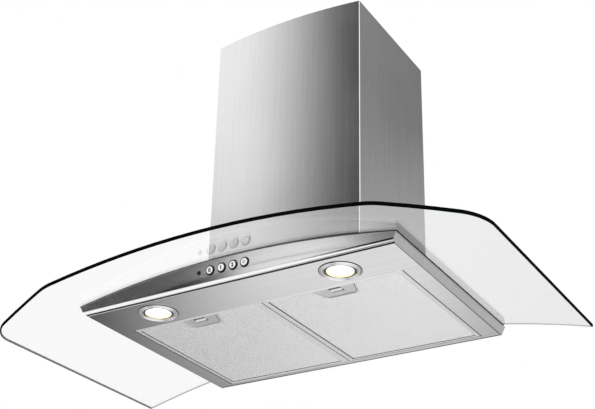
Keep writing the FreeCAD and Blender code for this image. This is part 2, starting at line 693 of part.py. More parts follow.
def latch_slider(middle_x):
    """Sliding bolt with a finger lip below and a spring tab above."""
    half = SLIDER_WIDTH / 2
    plate = box(-half, half, SLIDER_FRONT_Y, SLIDER_REAR_Y, SLIDER_BOTTOM_Z, SLIDER_TOP_Z)
    lip_y = SLOT_FRONT_Y + LIP_SETBACK
    lip_rear = lip_y + LIP_THICKNESS
    lip_edge = FILTER_BOTTOM_Z + MESH_RECESS
    section = [(lip_y, SLIDER_BOTTOM_Z), (lip_rear, SLIDER_BOTTOM_Z), (lip_rear, lip_edge), (lip_y + LIP_RAKE, lip_edge)]
    lip = x_prism(section, -LIP_WIDTH / 2, LIP_WIDTH / 2)
    tab = box(-SPRING_TAB_WIDTH / 2, SPRING_TAB_WIDTH / 2, SLIDER_REAR_Y - LATCH_TAB_THICKNESS, SLIDER_REAR_Y,
              SLIDER_TOP_Z, SLIDER_TOP_Z + LATCH_TAB_HEIGHT)
    slider = plate.fuse(lip).fuse(tab)
    slider.translate(Vector(middle_x, 0, 0))
    return slider


def latch_spring(middle_x):
    length = LATCH_STOP_Y - SLIDER_REAR_Y
    coil = spring(LATCH_SPRING_RADIUS, LATCH_SPRING_TURNS, length - 2 * SPRING_WIRE_RADIUS)
    coil.rotate(Vector(0, 0, 0), Vector(1, 0, 0), -90)
    height = SLIDER_TOP_Z + LATCH_TAB_HEIGHT / 2
    coil.translate(Vector(middle_x, SLIDER_REAR_Y + SPRING_WIRE_RADIUS, height))
    return coil


# ---------------------------------------------------------------- lamps

def lamp_pieces(x):
    """One recessed lamp: ring, lens, reflector, bulb and socket, from the underside upwards."""
    lens_z = -LAMP_FLANGE_THICKNESS / 2
    lens_top = lens_z + LAMP_LENS_THICKNESS
    inner = LAMP_BARREL_RADIUS - LAMP_BARREL_WALL
    opening = LAMP_LENS_RADIUS - LAMP_LENS_SEAT
    seat = LAMP_LENS_RADIUS + SHEET_GAP
    low = -LAMP_FLANGE_THICKNESS
    chamfer = LAMP_FLANGE_CHAMFER
    ring = ring_z([(opening, low), (LAMP_FLANGE_RADIUS - chamfer, low), (LAMP_FLANGE_RADIUS, low + chamfer),
                   (LAMP_FLANGE_RADIUS, 0), (LAMP_BARREL_RADIUS, 0), (LAMP_BARREL_RADIUS, LAMP_BARREL_HEIGHT),
                   (inner, LAMP_BARREL_HEIGHT), (inner, lens_top), (seat, lens_top), (seat, lens_z),
                   (opening, lens_z)])
    lens = rod(LAMP_LENS_RADIUS, (0, 0, lens_z), (0, 0, 1), LAMP_LENS_THICKNESS)
    foot = lens_top + SHEET_GAP
    top = foot + REFLECTOR_HEIGHT
    wide = inner - SHEET_GAP
    neck = REFLECTOR_NECK_RADIUS
    wall = REFLECTOR_WALL
    middle_z = foot + REFLECTOR_HEIGHT * REFLECTOR_WAIST_HEIGHT
    middle_r = neck + (wide - neck) * REFLECTOR_WAIST_RADIUS
    reflector = ring_z([(wide, foot), (wide, foot + wall), (middle_r, middle_z + wall), (neck, top),
                        (neck, top - wall), (middle_r - wall, middle_z), (wide - wall, foot)])
    bulb_z = top - BULB_LENGTH
    bulb = rod(BULB_RADIUS, (0, 0, bulb_z), (0, 0, 1), BULB_LENGTH - SHEET_GAP)
    bulb = bulb.makeFillet(BULB_TIP_ROUNDING, [e for e in bulb.Edges if e.BoundBox.ZMax < bulb_z + SHEET_GAP])
    socket = rod(SOCKET_RADIUS, (0, 0, top), (0, 0, 1), SOCKET_HEIGHT)
    for side in SIDES.values():
        pin_x = side * BULB_PIN_SPACING / 2
        pin = rod(BULB_PIN_RADIUS, (pin_x, 0, top - SHEET_GAP), (0, 0, 1), BULB_PIN_LENGTH)
        bulb = bulb.fuse(pin)
        socket = socket.cut(pin)
    pieces = {"lamp_ring": ring, "lamp_lens": lens, "lamp_reflector": reflector, "lamp_bulb": bulb,
              "lamp_socket": socket}
    for shape in pieces.values():
        shape.translate(Vector(x, -LAMP_WALL_DISTANCE, 0))
    return pieces


def lamp_transformer():
    width, depth, height = TRANSFORMER_SIZE
    case = box(TRANSFORMER_X - width / 2, TRANSFORMER_X + width / 2, -TRANSFORMER_Y - depth / 2,
               -TRANSFORMER_Y + depth / 2, BODY_SHEET, BODY_SHEET + height)
    return case.makeFillet(BODY_SHEET, [e for e in case.Edges if e.BoundBox.ZMin > BODY_SHEET])


def lamp_leads():
    """Sheathed leads held straight between the transformer and the two lamp sockets."""
    width = TRANSFORMER_SIZE[0]
    height = -LAMP_FLANGE_THICKNESS / 2 + LAMP_LENS_THICKNESS + REFLECTOR_HEIGHT + LEAD_RADIUS + 2 * SHEET_GAP
    leads = []
    for side in SIDES.values():
        start = TRANSFORMER_X + side * width / 2
        stop = side * LAMP_SPACING / 2
        lead = rod(LEAD_RADIUS, (start, -LAMP_WALL_DISTANCE, height), (side, 0, 0), abs(stop - start))
        socket = rod(SOCKET_RADIUS, (stop, -LAMP_WALL_DISTANCE, 0), (0, 0, 1), FAR)
        leads.append(lead.cut(socket))
    return Part.makeCompound(leads)


# ---------------------------------------------------------------- buttons

def button(x):
    """Round push button: cap, and a stem that reaches back to its switch."""
    height = slope_height(BUTTON_HEIGHT_Z)
    cap = rod(BUTTON_RADIUS, (x, -BUTTON_PROUD, height), (0, 1, 0), BUTTON_CAP_DEPTH)
    cap = cap.makeFillet(BUTTON_ROUNDING, [e for e in cap.Edges if e.BoundBox.YMax < -BUTTON_PROUD / 2])
    stem_start = BUTTON_CAP_DEPTH - BUTTON_PROUD
    stem = rod(BUTTON_STEM_RADIUS, (x, stem_start, height), (0, 1, 0), BUTTON_STEM_LENGTH)
    return on_fascia(cap.fuse(stem))


def button_spring(x):
    start = BUTTON_CAP_DEPTH - BUTTON_PROUD
    length = FASCIA_SHEET + HOUSING_DEPTH - start
    coil = spring(BUTTON_SPRING_RADIUS, BUTTON_SPRING_TURNS, length - 2 * SPRING_WIRE_RADIUS)
    coil.rotate(Vector(0, 0, 0), Vector(1, 0, 0), -90)
    coil.translate(Vector(x, start + SPRING_WIRE_RADIUS, slope_height(BUTTON_HEIGHT_Z)))
    return on_fascia(coil)


def button_rings():
    """Thin bezel ring round each button, on the fascia's face."""
    height = slope_height(BUTTON_HEIGHT_Z)
    rings = []
    for x in button_places():
        bore = BUTTON_RADIUS + BUTTON_HOLE_GAP
        rings.append(on_fascia(tube(BUTTON_RING_RADIUS, bore, (x, -BUTTON_RING_PROUD, height), (0, 1, 0),
                                    BUTTON_RING_PROUD)))
    return Part.makeCompound(rings)


def indicator_lens():
    height = slope_height(BUTTON_HEIGHT_Z)
    lens = rod(LED_RADIUS, (led_place(), -LED_PROUD, height), (0, 1, 0), LED_DEPTH)
    rim = [e for e in lens.Edges if e.BoundBox.YMax < -LED_PROUD / 2]
    return on_fascia(lens.makeFillet(LED_ROUNDING, rim))


def control_housing():
    """Plastic carrier behind the fascia. Its plate guides the stems and stops the springs."""
    x0 = led_place() - HOUSING_MARGIN
    x1 = button_places()[-1] + HOUSING_MARGIN
    middle = slope_height(BUTTON_HEIGHT_Z)
    z0 = middle - HOUSING_HEIGHT / 2
    z1 = middle + HOUSING_HEIGHT / 2
    face = FASCIA_SHEET
    plate_y = face + HOUSING_DEPTH
    case = box(x0, x1, face, plate_y + HOUSING_PLATE, z0, z1)
    wall = HOUSING_WALL
    case = case.cut(box(x0 + wall, x1 - wall, face, plate_y, z0 + wall, z1 - wall))
    for x in button_places():
        case = case.cut(rod(BUTTON_STEM_RADIUS + BUTTON_GUIDE_GAP, (x, 0, middle), (0, 1, 0), FAR))
    return on_fascia(case)


def switch_face():
    """Depth behind the fascia's face of the switches' front."""
    return BUTTON_CAP_DEPTH - BUTTON_PROUD + BUTTON_STEM_LENGTH + BUTTON_TRAVEL + SWITCH_GAP


def control_board():
    """Circuit board with one small switch behind each button and a lamp behind the window."""
    middle = slope_height(BUTTON_HEIGHT_Z)
    x0 = led_place() - HOUSING_MARGIN
    x1 = button_places()[-1] + HOUSING_MARGIN
    board_y = switch_face() + SWITCH_HEIGHT
    half = HOUSING_HEIGHT / 2
    board = box(x0, x1, board_y, board_y + BOARD_THICKNESS, middle - half, middle + half)
    for x in button_places():
        board = board.fuse(box(x - SWITCH_SIZE / 2, x + SWITCH_SIZE / 2, switch_face(), board_y,
                               middle - SWITCH_SIZE / 2, middle + SWITCH_SIZE / 2))
    plate_back = FASCIA_SHEET + HOUSING_DEPTH + HOUSING_PLATE
    for x in (x0, x1 - BOARD_POST):
        board = board.fuse(box(x, x + BOARD_POST, plate_back, board_y, middle - half, middle + half))
    return on_fascia(board)


# ---------------------------------------------------------------- fan box and fan

def fan_box():
    """Open-bottomed sheet box: hangs on four wall screws, carries the fan and the body."""
    half = BOX_HALF
    under_lid = -GASKET_THICKNESS - BODY_SHEET - SHEET_GAP
    case = box(-half, half, -BOX_DEPTH, 0, 0, BOX_TOP_Z)
    case = case.cut(box(-half + BOX_SHEET, half - BOX_SHEET, -BOX_DEPTH + BOX_SHEET, -BOX_SHEET, -FAR,
                        BOX_TOP_Z - BOX_SHEET))
    foot = arch_slab(under_lid - BOX_SHEET, under_lid, half + BOX_FLANGE, -BOX_DEPTH - BOX_FLANGE,
                     -BODY_SHEET - SHEET_GAP)
    too_low = below_arch(under_lid - BOX_SHEET)
    case = case.cut(too_low.common(box(-FAR, FAR, -FAR, -2 * BOX_SHEET, -FAR, FAR)))
    case = case.cut(box(-FAR, FAR, -2 * BOX_SHEET, 0, -FAR, BODY_REAR_WALL_CUT_Z + SHEET_GAP))
    foot = foot.cut(box(-half + BOX_SHEET, half - BOX_SHEET, -BOX_DEPTH + BOX_SHEET, 0, 0, FAR))
    case = case.fuse(foot)
    for side in SIDES.values():
        for level in (-1, 1):
            z = WALL_SCREW_Z + level * WALL_SCREW_SPACING_Z / 2
            place = (side * WALL_SCREW_SPACING_X / 2, -2 * BOX_SHEET, z)
            case = case.cut(rod(WALL_SCREW_HOLE_RADIUS, place, (0, 1, 0), 4 * BOX_SHEET))
    throat, front, rear = throat_edges()
    case = case.cut(box(-throat, throat, front, rear, BOX_TOP_Z - 2 * BOX_SHEET, BOX_TOP_Z + BOX_SHEET))
    return drill_screws(case).removeSplitter()


def volute_point(angle, inset):
    """A point of the spiral in (y, z). The angle starts straight up and turns towards the wall."""
    share = (angle - VOLUTE_START_ANGLE) / (VOLUTE_END_ANGLE - VOLUTE_START_ANGLE)
    radius = VOLUTE_START_RADIUS + share * (VOLUTE_END_RADIUS - VOLUTE_START_RADIUS) - inset
    turn = math.radians(angle)
    return FAN_Y + radius * math.sin(turn), FAN_CENTRE_Z + radius * math.cos(turn)


def tongue_y():
    return volute_point(VOLUTE_START_ANGLE, 0)[0]


def volute_face(inset, top, x):
    """Spiral casing with an upright throat, as a face at x."""
    span = VOLUTE_END_ANGLE - VOLUTE_START_ANGLE
    points = []
    for i in range(VOLUTE_POINTS):
        y, z = volute_point(VOLUTE_START_ANGLE + span * i / (VOLUTE_POINTS - 1), inset)
        points.append(Vector(x, y, z))
    curve = Part.BSplineCurve()
    curve.interpolate(points)
    corner_front = Vector(x, points[-1].y, top)
    tongue = Vector(x, tongue_y() - inset, points[0].z)
    corner_rear = Vector(x, tongue_y() - inset, top)
    edges = [curve.toShape(), Part.LineSegment(points[-1], corner_front).toShape(),
             Part.LineSegment(corner_front, corner_rear).toShape()]
    edges.append(Part.LineSegment(corner_rear, tongue).toShape())
    if inset > 0:
        edges.append(Part.LineSegment(tongue, points[0]).toShape())
    return Part.Face(Part.Wire(edges))


def volute_half(side):
    """Half of the plastic fan casing, with its round air inlet."""
    top = BOX_TOP_Z - BOX_SHEET
    half = VOLUTE_WIDTH / 2
    outer = volute_face(0, top, 0).extrude(Vector(side * half, 0, 0))
    inner = volute_face(VOLUTE_WALL, top + VOLUTE_WALL, 0).extrude(Vector(side * (half - VOLUTE_WALL), 0, 0))
    case = outer.cut(inner)
    return case.cut(rod(INLET_RADIUS, (0, FAN_Y, FAN_CENTRE_Z), (side, 0, 0), FAR))


def blade(angle):
    """One forward-curved blade: an arc-shaped strip across the wheel."""
    outer_r = IMPELLER_RADIUS - SHEET_GAP
    inner_r = IMPELLER_RADIUS - IMPELLER_BAND
    middle_r = (outer_r + inner_r) / 2
    half_width = IMPELLER_WIDTH / 2
    edges = []
    rows = []
    for shift in (0.0, BLADE_THICKNESS):
        rows.append([Vector(-half_width, shift, inner_r), Vector(-half_width, shift + BLADE_BOW, middle_r),
                     Vector(-half_width, shift, outer_r)])
    edges.append(Part.Arc(*rows[0]).toShape())
    edges.append(Part.LineSegment(rows[0][2], rows[1][2]).toShape())
    edges.append(Part.Arc(rows[1][2], rows[1][1], rows[1][0]).toShape())
    edges.append(Part.LineSegment(rows[1][0], rows[0][0]).toShape())
    strip = Part.Face(Part.Wire(edges)).extrude(Vector(2 * half_width, 0, 0))
    strip.rotate(Vector(0, 0, 0), Vector(1, 0, 0), angle)
    return strip


def impeller():
    """Double-inlet fan wheel: a hub disc in the middle, curved blades and two end rings."""
    half_width = IMPELLER_WIDTH / 2
    axis = (1, 0, 0)
    wheel = rod(IMPELLER_RADIUS, (-IMPELLER_SHEET / 2, 0, 0), axis, IMPELLER_SHEET)
    extras = [rod(HUB_RADIUS, (-HUB_WIDTH / 2, 0, 0), axis, HUB_WIDTH)]
    for x in (-half_width, half_width - IMPELLER_SHEET):
        extras.append(tube(IMPELLER_RADIUS, IMPELLER_RADIUS - IMPELLER_BAND, (x, 0, 0), axis, IMPELLER_SHEET))
    extras += [blade(360.0 * i / BLADE_COUNT) for i in range(BLADE_COUNT)]
    wheel = wheel.fuse(extras)
    wheel = wheel.cut(rod(SHAFT_RADIUS, (-HUB_WIDTH, 0, 0), axis, 2 * HUB_WIDTH))
    wheel.translate(Vector(0, FAN_Y, FAN_CENTRE_Z))
    return wheel


def motor_shaft():
    """Shaft through the hub, with a nut on its free end, turning in the motor."""
    start = -HUB_WIDTH / 2 - SHAFT_NUT_WIDTH - SHAFT_STUB
    shaft = rod(SHAFT_RADIUS, (start, FAN_Y, FAN_CENTRE_Z), (1, 0, 0), MOTOR_END_X - start - SHAFT_STUB)
    nut_start = (-HUB_WIDTH / 2 - SHAFT_NUT_WIDTH, FAN_Y, FAN_CENTRE_Z)
    return shaft.fuse(rod(SHAFT_NUT_RADIUS, nut_start, (1, 0, 0), SHAFT_NUT_WIDTH))


def motor():
    start = HUB_WIDTH / 2 + MOTOR_GAP
    end = MOTOR_END_X
    can = rod(MOTOR_RADIUS, (start, FAN_Y, FAN_CENTRE_Z), (1, 0, 0), end - start)
    can = can.makeFillet(MOTOR_GAP / 2, [e for e in can.Edges if e.BoundBox.XMax < start + SHEET_GAP])
    bore = SHAFT_RADIUS + SHAFT_RUNNING_GAP
    depth = end - start - SHAFT_STUB + SHEET_GAP
    return can.cut(rod(bore, (start, FAN_Y, FAN_CENTRE_Z), (1, 0, 0), depth))


def motor_bracket():
    """Three-armed spider across the right inlet that holds the motor."""
    spider = rod(BRACKET_HUB_RADIUS, (MOTOR_END_X, 0, 0), (1, 0, 0), BRACKET_SHEET)
    for i in range(BRACKET_ARM_COUNT):
        arm = box(MOTOR_END_X, MOTOR_END_X + BRACKET_SHEET, -BRACKET_ARM_WIDTH / 2, BRACKET_ARM_WIDTH / 2, 0,
                  BRACKET_REACH)
        arm.rotate(Vector(0, 0, 0), Vector(1, 0, 0), 360.0 * i / BRACKET_ARM_COUNT)
        spider = spider.fuse(arm)
    spider.translate(Vector(0, FAN_Y, FAN_CENTRE_Z))
    return spider


def terminal_box():
    """Mains connection box on top of the fan box, with a threaded cable gland."""
    width, depth, height = TERMINAL_SIZE
    x0 = TERMINAL_X - width / 2
    y0 = -TERMINAL_Y - depth / 2
    case = box(x0, x0 + width, y0, y0 + depth, BOX_TOP_Z, BOX_TOP_Z + height)
    wall = TERMINAL_WALL
    case = case.cut(box(x0 + wall, x0 + width - wall, y0 + wall, y0 + depth - wall, BOX_TOP_Z,
                        BOX_TOP_Z + height - wall))
    return case.cut(rod(GLAND_HOLE_RADIUS, (TERMINAL_X, -TERMINAL_Y, BOX_TOP_Z), (0, 0, 1), FAR))


def cable_gland():
    top = BOX_TOP_Z + TERMINAL_SIZE[2]
    return tube(GLAND_RADIUS, GLAND_BORE_RADIUS, (TERMINAL_X, -TERMINAL_Y, top), (0, 0, 1), GLAND_HEIGHT)


# ---------------------------------------------------------------- outlet

def outlet_transition(radius, x_half, y_front, y_rear):
    """Loft from the fan's rectangular throat to the round spigot."""
    foot_z = OUTLET_BASE_Z + OUTLET_BASE_SHEET
    corners = [(-x_half, y_front), (x_half, y_front), (x_half, y_rear), (-x_half, y_rear)]
    foot = Part.makePolygon([Vector(x, y, foot_z) for x, y in corners + corners[:1]])
    top = Part.Wire([Part.makeCircle(radius, Vector(0, OUTLET_Y, SPIGOT_BOTTOM_Z))])
    return Part.makeLoft([foot, top], True)


def outlet_collar():
    """Square-to-round outlet with a duct spigot and an inner seat for the two flaps."""
    wall = OUTLET_WALL
    throat, y_front, y_rear = throat_edges()
    margin = OUTLET_BASE_MARGIN
    foot_z = OUTLET_BASE_Z + OUTLET_BASE_SHEET
    base = box(-throat - margin, throat + margin, max(y_front - margin, -BOX_DEPTH), y_rear + margin,
               OUTLET_BASE_Z, foot_z)
    base = base.cut(box(-throat, throat, y_front, y_rear, OUTLET_BASE_Z, foot_z))
    shell = outlet_transition(OUTLET_DUCT_RADIUS, throat + wall, y_front - wall, y_rear + wall)
    shell = shell.cut(outlet_transition(OUTLET_DUCT_RADIUS - wall, throat, y_front, y_rear))
    bottom = (0, OUTLET_Y, SPIGOT_BOTTOM_Z)
    spigot = tube(OUTLET_DUCT_RADIUS, OUTLET_DUCT_RADIUS - wall, bottom, (0, 0, 1), OUTLET_SPIGOT)
    seat = tube(OUTLET_DUCT_RADIUS - wall / 2, OUTLET_DUCT_RADIUS - wall - FLAP_SEAT_WIDTH,
                (0, OUTLET_Y, SPIGOT_BOTTOM_Z + FLAP_SEAT_Z), (0, 0, 1), FLAP_SEAT_THICKNESS)
    collar = base.fuse([shell, spigot, seat])
    for place in flap_pin_places():
        collar = collar.cut(rod(FLAP_PIN_RADIUS, place, (1, 0, 0), 2 * OUTLET_DUCT_RADIUS))
    return drill_screws(collar)


def throat_edges():
    """Inner faces of the fan's throat: half width, front and rear."""
    return VOLUTE_WIDTH / 2 - VOLUTE_WALL, THROAT_FRONT_Y + VOLUTE_WALL, tongue_y() - VOLUTE_WALL


def outlet_screw_places():
    half, front, rear = throat_edges()
    offset = OUTLET_WALL + OUTLET_BASE_MARGIN / 2
    row = ((front + rear) / 2 - OUTLET_SCREW_SPREAD, (front + rear) / 2 + OUTLET_SCREW_SPREAD)
    return [(side * (half + offset), y) for side in SIDES.values() for y in row]


def outlet_screws():
    """Four pan-head screws that hold the outlet's base to the fan box."""
    screws = []
    head_z = OUTLET_BASE_Z + OUTLET_BASE_SHEET
    for x, y in outlet_screw_places():
        shank = rod(SMALL_SCREW_RADIUS, (x, y, head_z - SMALL_SCREW_LENGTH), (0, 0, 1), SMALL_SCREW_LENGTH)
        head = rod(SMALL_HEAD_RADIUS, (x, y, head_z), (0, 0, 1), SMALL_HEAD_HEIGHT)
        screws.append(head.fuse(shank))
    return Part.makeCompound(screws)


def drill_screws(shape):
    """Clear holes for the outlet's screws."""
    for x, y in outlet_screw_places():
        shape = shape.cut(rod(SMALL_SCREW_RADIUS + SHEET_GAP, (x, y, BOX_TOP_Z - FAR / 2), (0, 0, 1), FAR))
    return shape


def flap_pin_places():
    """Left end of each flap's pin."""
    return [(-OUTLET_DUCT_RADIUS, OUTLET_Y + side * FLAP_PIN_OFFSET, FLAP_Z) for side in (-1, 1)]


def flap_pins():
    pins = []
    for place in flap_pin_places():
        pin = rod(FLAP_PIN_RADIUS, place, (1, 0, 0), 2 * OUTLET_DUCT_RADIUS)
        pins.append(pin.common(rod(OUTLET_DUCT_RADIUS, (0, OUTLET_Y, 0), (0, 0, 1), FAR)))
    return Part.makeCompound(pins)


def damper_flap(side):
    """Half-round flap that lifts with the air stream. It turns on its own pin."""
    radius = OUTLET_DUCT_RADIUS - OUTLET_WALL - FLAP_RIM_GAP
    pin_y = OUTLET_Y + side * FLAP_PIN_OFFSET
    low = FLAP_Z - FLAP_KNUCKLE_RADIUS + SHEET_GAP
    plate = rod(radius, (0, OUTLET_Y, low), (0, 0, 1), FLAP_THICKNESS)
    plate = plate.common(box(-FAR, FAR, pin_y, pin_y + side * FAR, 0, FAR))
    knuckle_half = OUTLET_DUCT_RADIUS - FLAP_KNUCKLE_INSET
    start = (-knuckle_half, pin_y, FLAP_Z)
    knuckle = rod(FLAP_KNUCKLE_RADIUS, start, (1, 0, 0), 2 * knuckle_half)
    knuckle = knuckle.common(box(-FAR, FAR, -FAR, FAR, low, FAR))
    trim = rod(radius, (0, OUTLET_Y, 0), (0, 0, 1), FAR)
    bore = rod(FLAP_PIN_RADIUS + FLAP_PIN_GAP, (-FAR / 2, pin_y, FLAP_Z), (1, 0, 0), FAR)
    return plate.fuse(knuckle).common(trim).cut(bore)


# ---------------------------------------------------------------- chimney

def channel_outline(inset):
    """Bowed front and two straight sides, seen from above. The bow is one arc."""
    half = CHIMNEY_HALF - inset
    side = -CHIMNEY_SIDE_DEPTH + inset
    nose = side - CHIMNEY_BOW
    edges = [Part.Arc(Vector(-half, side, 0), Vector(0, nose, 0), Vector(half, side, 0)).toShape(),
             Part.LineSegment(Vector(half, side, 0), Vector(half, 0, 0)).toShape(),
             Part.LineSegment(Vector(half, 0, 0), Vector(-half, 0, 0)).toShape(),
             Part.LineSegment(Vector(-half, 0, 0), Vector(-half, side, 0)).toShape()]
    return Part.Wire(edges)


def channel(inset, rear_gap, z0, z1):
    """Sheet channel open to the wall, with its two rear edges folded inwards."""
    outer = layer(channel_outline(inset), z0, z1)
    inner = layer(channel_outline(inset + CHIMNEY_SHEET), z0, z1)
    shell = outer.cut(inner)
    half = CHIMNEY_HALF - inset
    for side in SIDES.values():
        edge = side * half
        fold = edge - side * CHIMNEY_RETURN
        shell = shell.fuse(box(edge, fold, -rear_gap - CHIMNEY_SHEET, -rear_gap, z0, z1))
    return shell.common(box(-FAR, FAR, -FAR, -rear_gap, -FAR, FAR)).removeSplitter()


def chimney_lower():
    shell = channel(0, 0, 0, CHIMNEY_TOP_Z)
    return shell.cut(below_arch(GLASS_THICKNESS + CHIMNEY_GLASS_GAP))


def chimney_upper():
    """Inner telescopic chimney, with air slots near its top on both sides."""
    rear_gap = CHIMNEY_SHEET + FLUE_GAP
    shell = channel(FLUE_INSET, rear_gap, FLUE_BOTTOM_Z, FLUE_TOP_Z)
    vent_front = -(CHIMNEY_SIDE_DEPTH + VENT_LENGTH) / 2
    for i in range(VENT_COUNT):
        top = FLUE_TOP_Z - VENT_TOP_MARGIN - i * VENT_PITCH
        shell = shell.cut(box(-FAR, FAR, vent_front, vent_front + VENT_LENGTH, top - VENT_HEIGHT, top))
    return shell


def ceiling_bracket():
    """Wall strip with two forward ears that hold the upper chimney's top."""
    rear = CHIMNEY_SHEET + FLUE_GAP
    half = CHIMNEY_HALF - FLUE_INSET - CHIMNEY_SHEET
    z1 = FLUE_TOP_Z - CEILING_BRACKET_DROP
    z0 = z1 - CEILING_BRACKET_HEIGHT
    sheet = CEILING_BRACKET_SHEET
    front = -rear - CHIMNEY_SHEET
    strip = box(-half, half, front - sheet, front, z0, z1)
    for side in SIDES.values():
        ear = box(side * half, side * (half - sheet), front, front - CEILING_EAR_DEPTH, z0, z1)
        strip = strip.fuse(ear)
    for side in SIDES.values():
        hole = (side * CEILING_HOLE_SPACING / 2, -FAR / 2, (z0 + z1) / 2)
        strip = strip.cut(rod(CEILING_HOLE_RADIUS, hole, (0, 1, 0), FAR))
    return strip


def chimney_clips():
    """Two spring clips on the fan box that hold the lower chimney's sides."""
    clips = []
    reach = CHIMNEY_HALF - CHIMNEY_SHEET
    for side in SIDES.values():
        y0 = -CLIP_WALL_DISTANCE - CLIP_WIDTH / 2
        y1 = y0 + CLIP_WIDTH
        top = CLIP_Z + CLIP_HEIGHT
        foot = box(side * BOX_HALF, side * (BOX_HALF + CLIP_SHEET), y0, y1, CLIP_Z, top)
        arm = box(side * BOX_HALF, side * reach, y0, y1, top - CLIP_SHEET, top)
        pad = box(side * reach, side * (reach - CLIP_SHEET), y0, y1, CLIP_Z, top)
        clips.append(foot.fuse([arm, pad]))
    return Part.makeCompound(clips)


# ---------------------------------------------------------------- assembly

def main():
    save("glass_panel", glass_panel())
    screws, washers = glass_fixings()
    save("glass_screws", screws)
    save("glass_washers", washers)
    save("glass_gasket", glass_gasket())
    save("front_fascia", front_fascia())
    save("underside_pan", underside_pan())
    save("body_top", body_top())
    save("filter_divider", filter_divider())
    for name, side in SIDES.items():
        middle = side * FILTER_MIDDLE_X
        frame, mesh, tray = filter_pieces(middle)
        save("filter_frame_" + name, frame)
        save("filter_mesh_" + name, mesh)
        save("latch_tray_" + name, tray)
        save("latch_slider_" + name, latch_slider(middle))
        save("latch_spring_" + name, latch_spring(middle))
        for piece, shape in lamp_pieces(side * LAMP_SPACING / 2).items():
            save(piece + "_" + name, shape)
        save("fan_casing_" + name, volute_half(side))
    save("lamp_transformer", lamp_transformer())
    save("lamp_leads", lamp_leads())
    for i, x in enumerate(button_places()):
        save("button_" + str(i + 1), button(x))
        save("button_spring_" + str(i + 1), button_spring(x))
    save("button_rings", button_rings())
    save("indicator_lens", indicator_lens())
    save("control_housing", control_housing())
    save("control_board", control_board())
    save("fan_box", fan_box())
    save("impeller", impeller())
    save("motor_shaft", motor_shaft())
    save("motor", motor())
    save("motor_bracket", motor_bracket())
    save("terminal_box", terminal_box())
    save("cable_gland", cable_gland())
    save("outlet_collar", outlet_collar())
    save("outlet_screws", outlet_screws())
    save("flap_pins", flap_pins())
    save("damper_flap_front", damper_flap(-1))
    save("damper_flap_rear", damper_flap(1))
    save("chimney_lower", chimney_lower())
    save("chimney_upper", chimney_upper())
    save("ceiling_bracket", ceiling_bracket())
    save("chimney_clips", chimney_clips())


main()
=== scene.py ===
import json
import math

import bmesh
import bpy
from mathutils import Matrix, Vector


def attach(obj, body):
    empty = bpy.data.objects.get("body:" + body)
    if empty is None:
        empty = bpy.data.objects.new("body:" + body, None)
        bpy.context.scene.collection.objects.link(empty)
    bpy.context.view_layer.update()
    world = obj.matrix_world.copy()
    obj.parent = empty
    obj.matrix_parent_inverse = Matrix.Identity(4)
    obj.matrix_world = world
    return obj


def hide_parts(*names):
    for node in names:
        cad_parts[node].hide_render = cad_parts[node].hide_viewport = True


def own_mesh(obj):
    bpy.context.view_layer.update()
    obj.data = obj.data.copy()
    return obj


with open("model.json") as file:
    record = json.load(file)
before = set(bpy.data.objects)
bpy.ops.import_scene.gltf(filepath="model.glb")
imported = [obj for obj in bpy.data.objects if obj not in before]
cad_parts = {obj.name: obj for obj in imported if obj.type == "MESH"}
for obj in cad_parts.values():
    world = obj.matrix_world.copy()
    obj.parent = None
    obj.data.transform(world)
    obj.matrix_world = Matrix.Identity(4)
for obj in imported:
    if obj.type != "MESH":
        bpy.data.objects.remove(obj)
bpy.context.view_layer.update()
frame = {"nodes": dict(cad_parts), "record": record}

# Range hood with a curved glass visor. Metres, in the frame of the CAD model: +X to the right,
# +Y into the wall, +Z up, with the origin at the middle of the four wall screw holes.

MM = 0.001
UNDERSIDE_Z = -0.175
WELD = 1e-6
FLAT_ANGLE = 0.4

BODY_OF = {node: body for body, nodes in frame["record"]["behaviour"]["bodies"].items() for node in nodes}
SIDES = {"left": -1, "right": 1}


# ---- camera

CAMERA_PLACE = (0.99182, -1.82292, -0.96187)
CAMERA_RIGHT = (0.85649708, 0.51572585, 0.02096649)
CAMERA_DOWN = (-0.21180503, 0.38822015, -0.89689673)
CAMERA_AHEAD = (-0.47069244, 0.76374862, 0.44174276)
CAMERA_LENS = 73.5
CAMERA_SENSOR = 36.0
CAMERA_SHIFT = (0.0055, 0.0713)


def make_camera():
    data = bpy.data.cameras.new("camera")
    data.lens = CAMERA_LENS
    data.sensor_width = CAMERA_SENSOR
    data.shift_x, data.shift_y = CAMERA_SHIFT
    camera = bpy.data.objects.new("camera", data)
    bpy.context.scene.collection.objects.link(camera)
    turn = Matrix((CAMERA_RIGHT, -Vector(CAMERA_DOWN), -Vector(CAMERA_AHEAD))).transposed()
    camera.matrix_world = Matrix.Translation(CAMERA_PLACE) @ turn.to_4x4()
    bpy.context.scene.camera = camera


# ---- node helpers

NOISE_SPAN = (0.3, 0.7)   # nearly all values of a noise lie in this range

# Noises: scale per metre, detail and roughness.
GRIT = (1800.0, 4.0, 0.7)
MOULD_GRAIN = (1400.0, 5.0, 0.65)
CAST_CLOUD = (60.0, 2.0, 0.5)
MOULD_CLOUD = (40.0, 2.0, 0.5)
SHEET_CLOUD = (6.0, 2.0, 0.5)
SMEARS = (9.0, 3.0, 0.6)


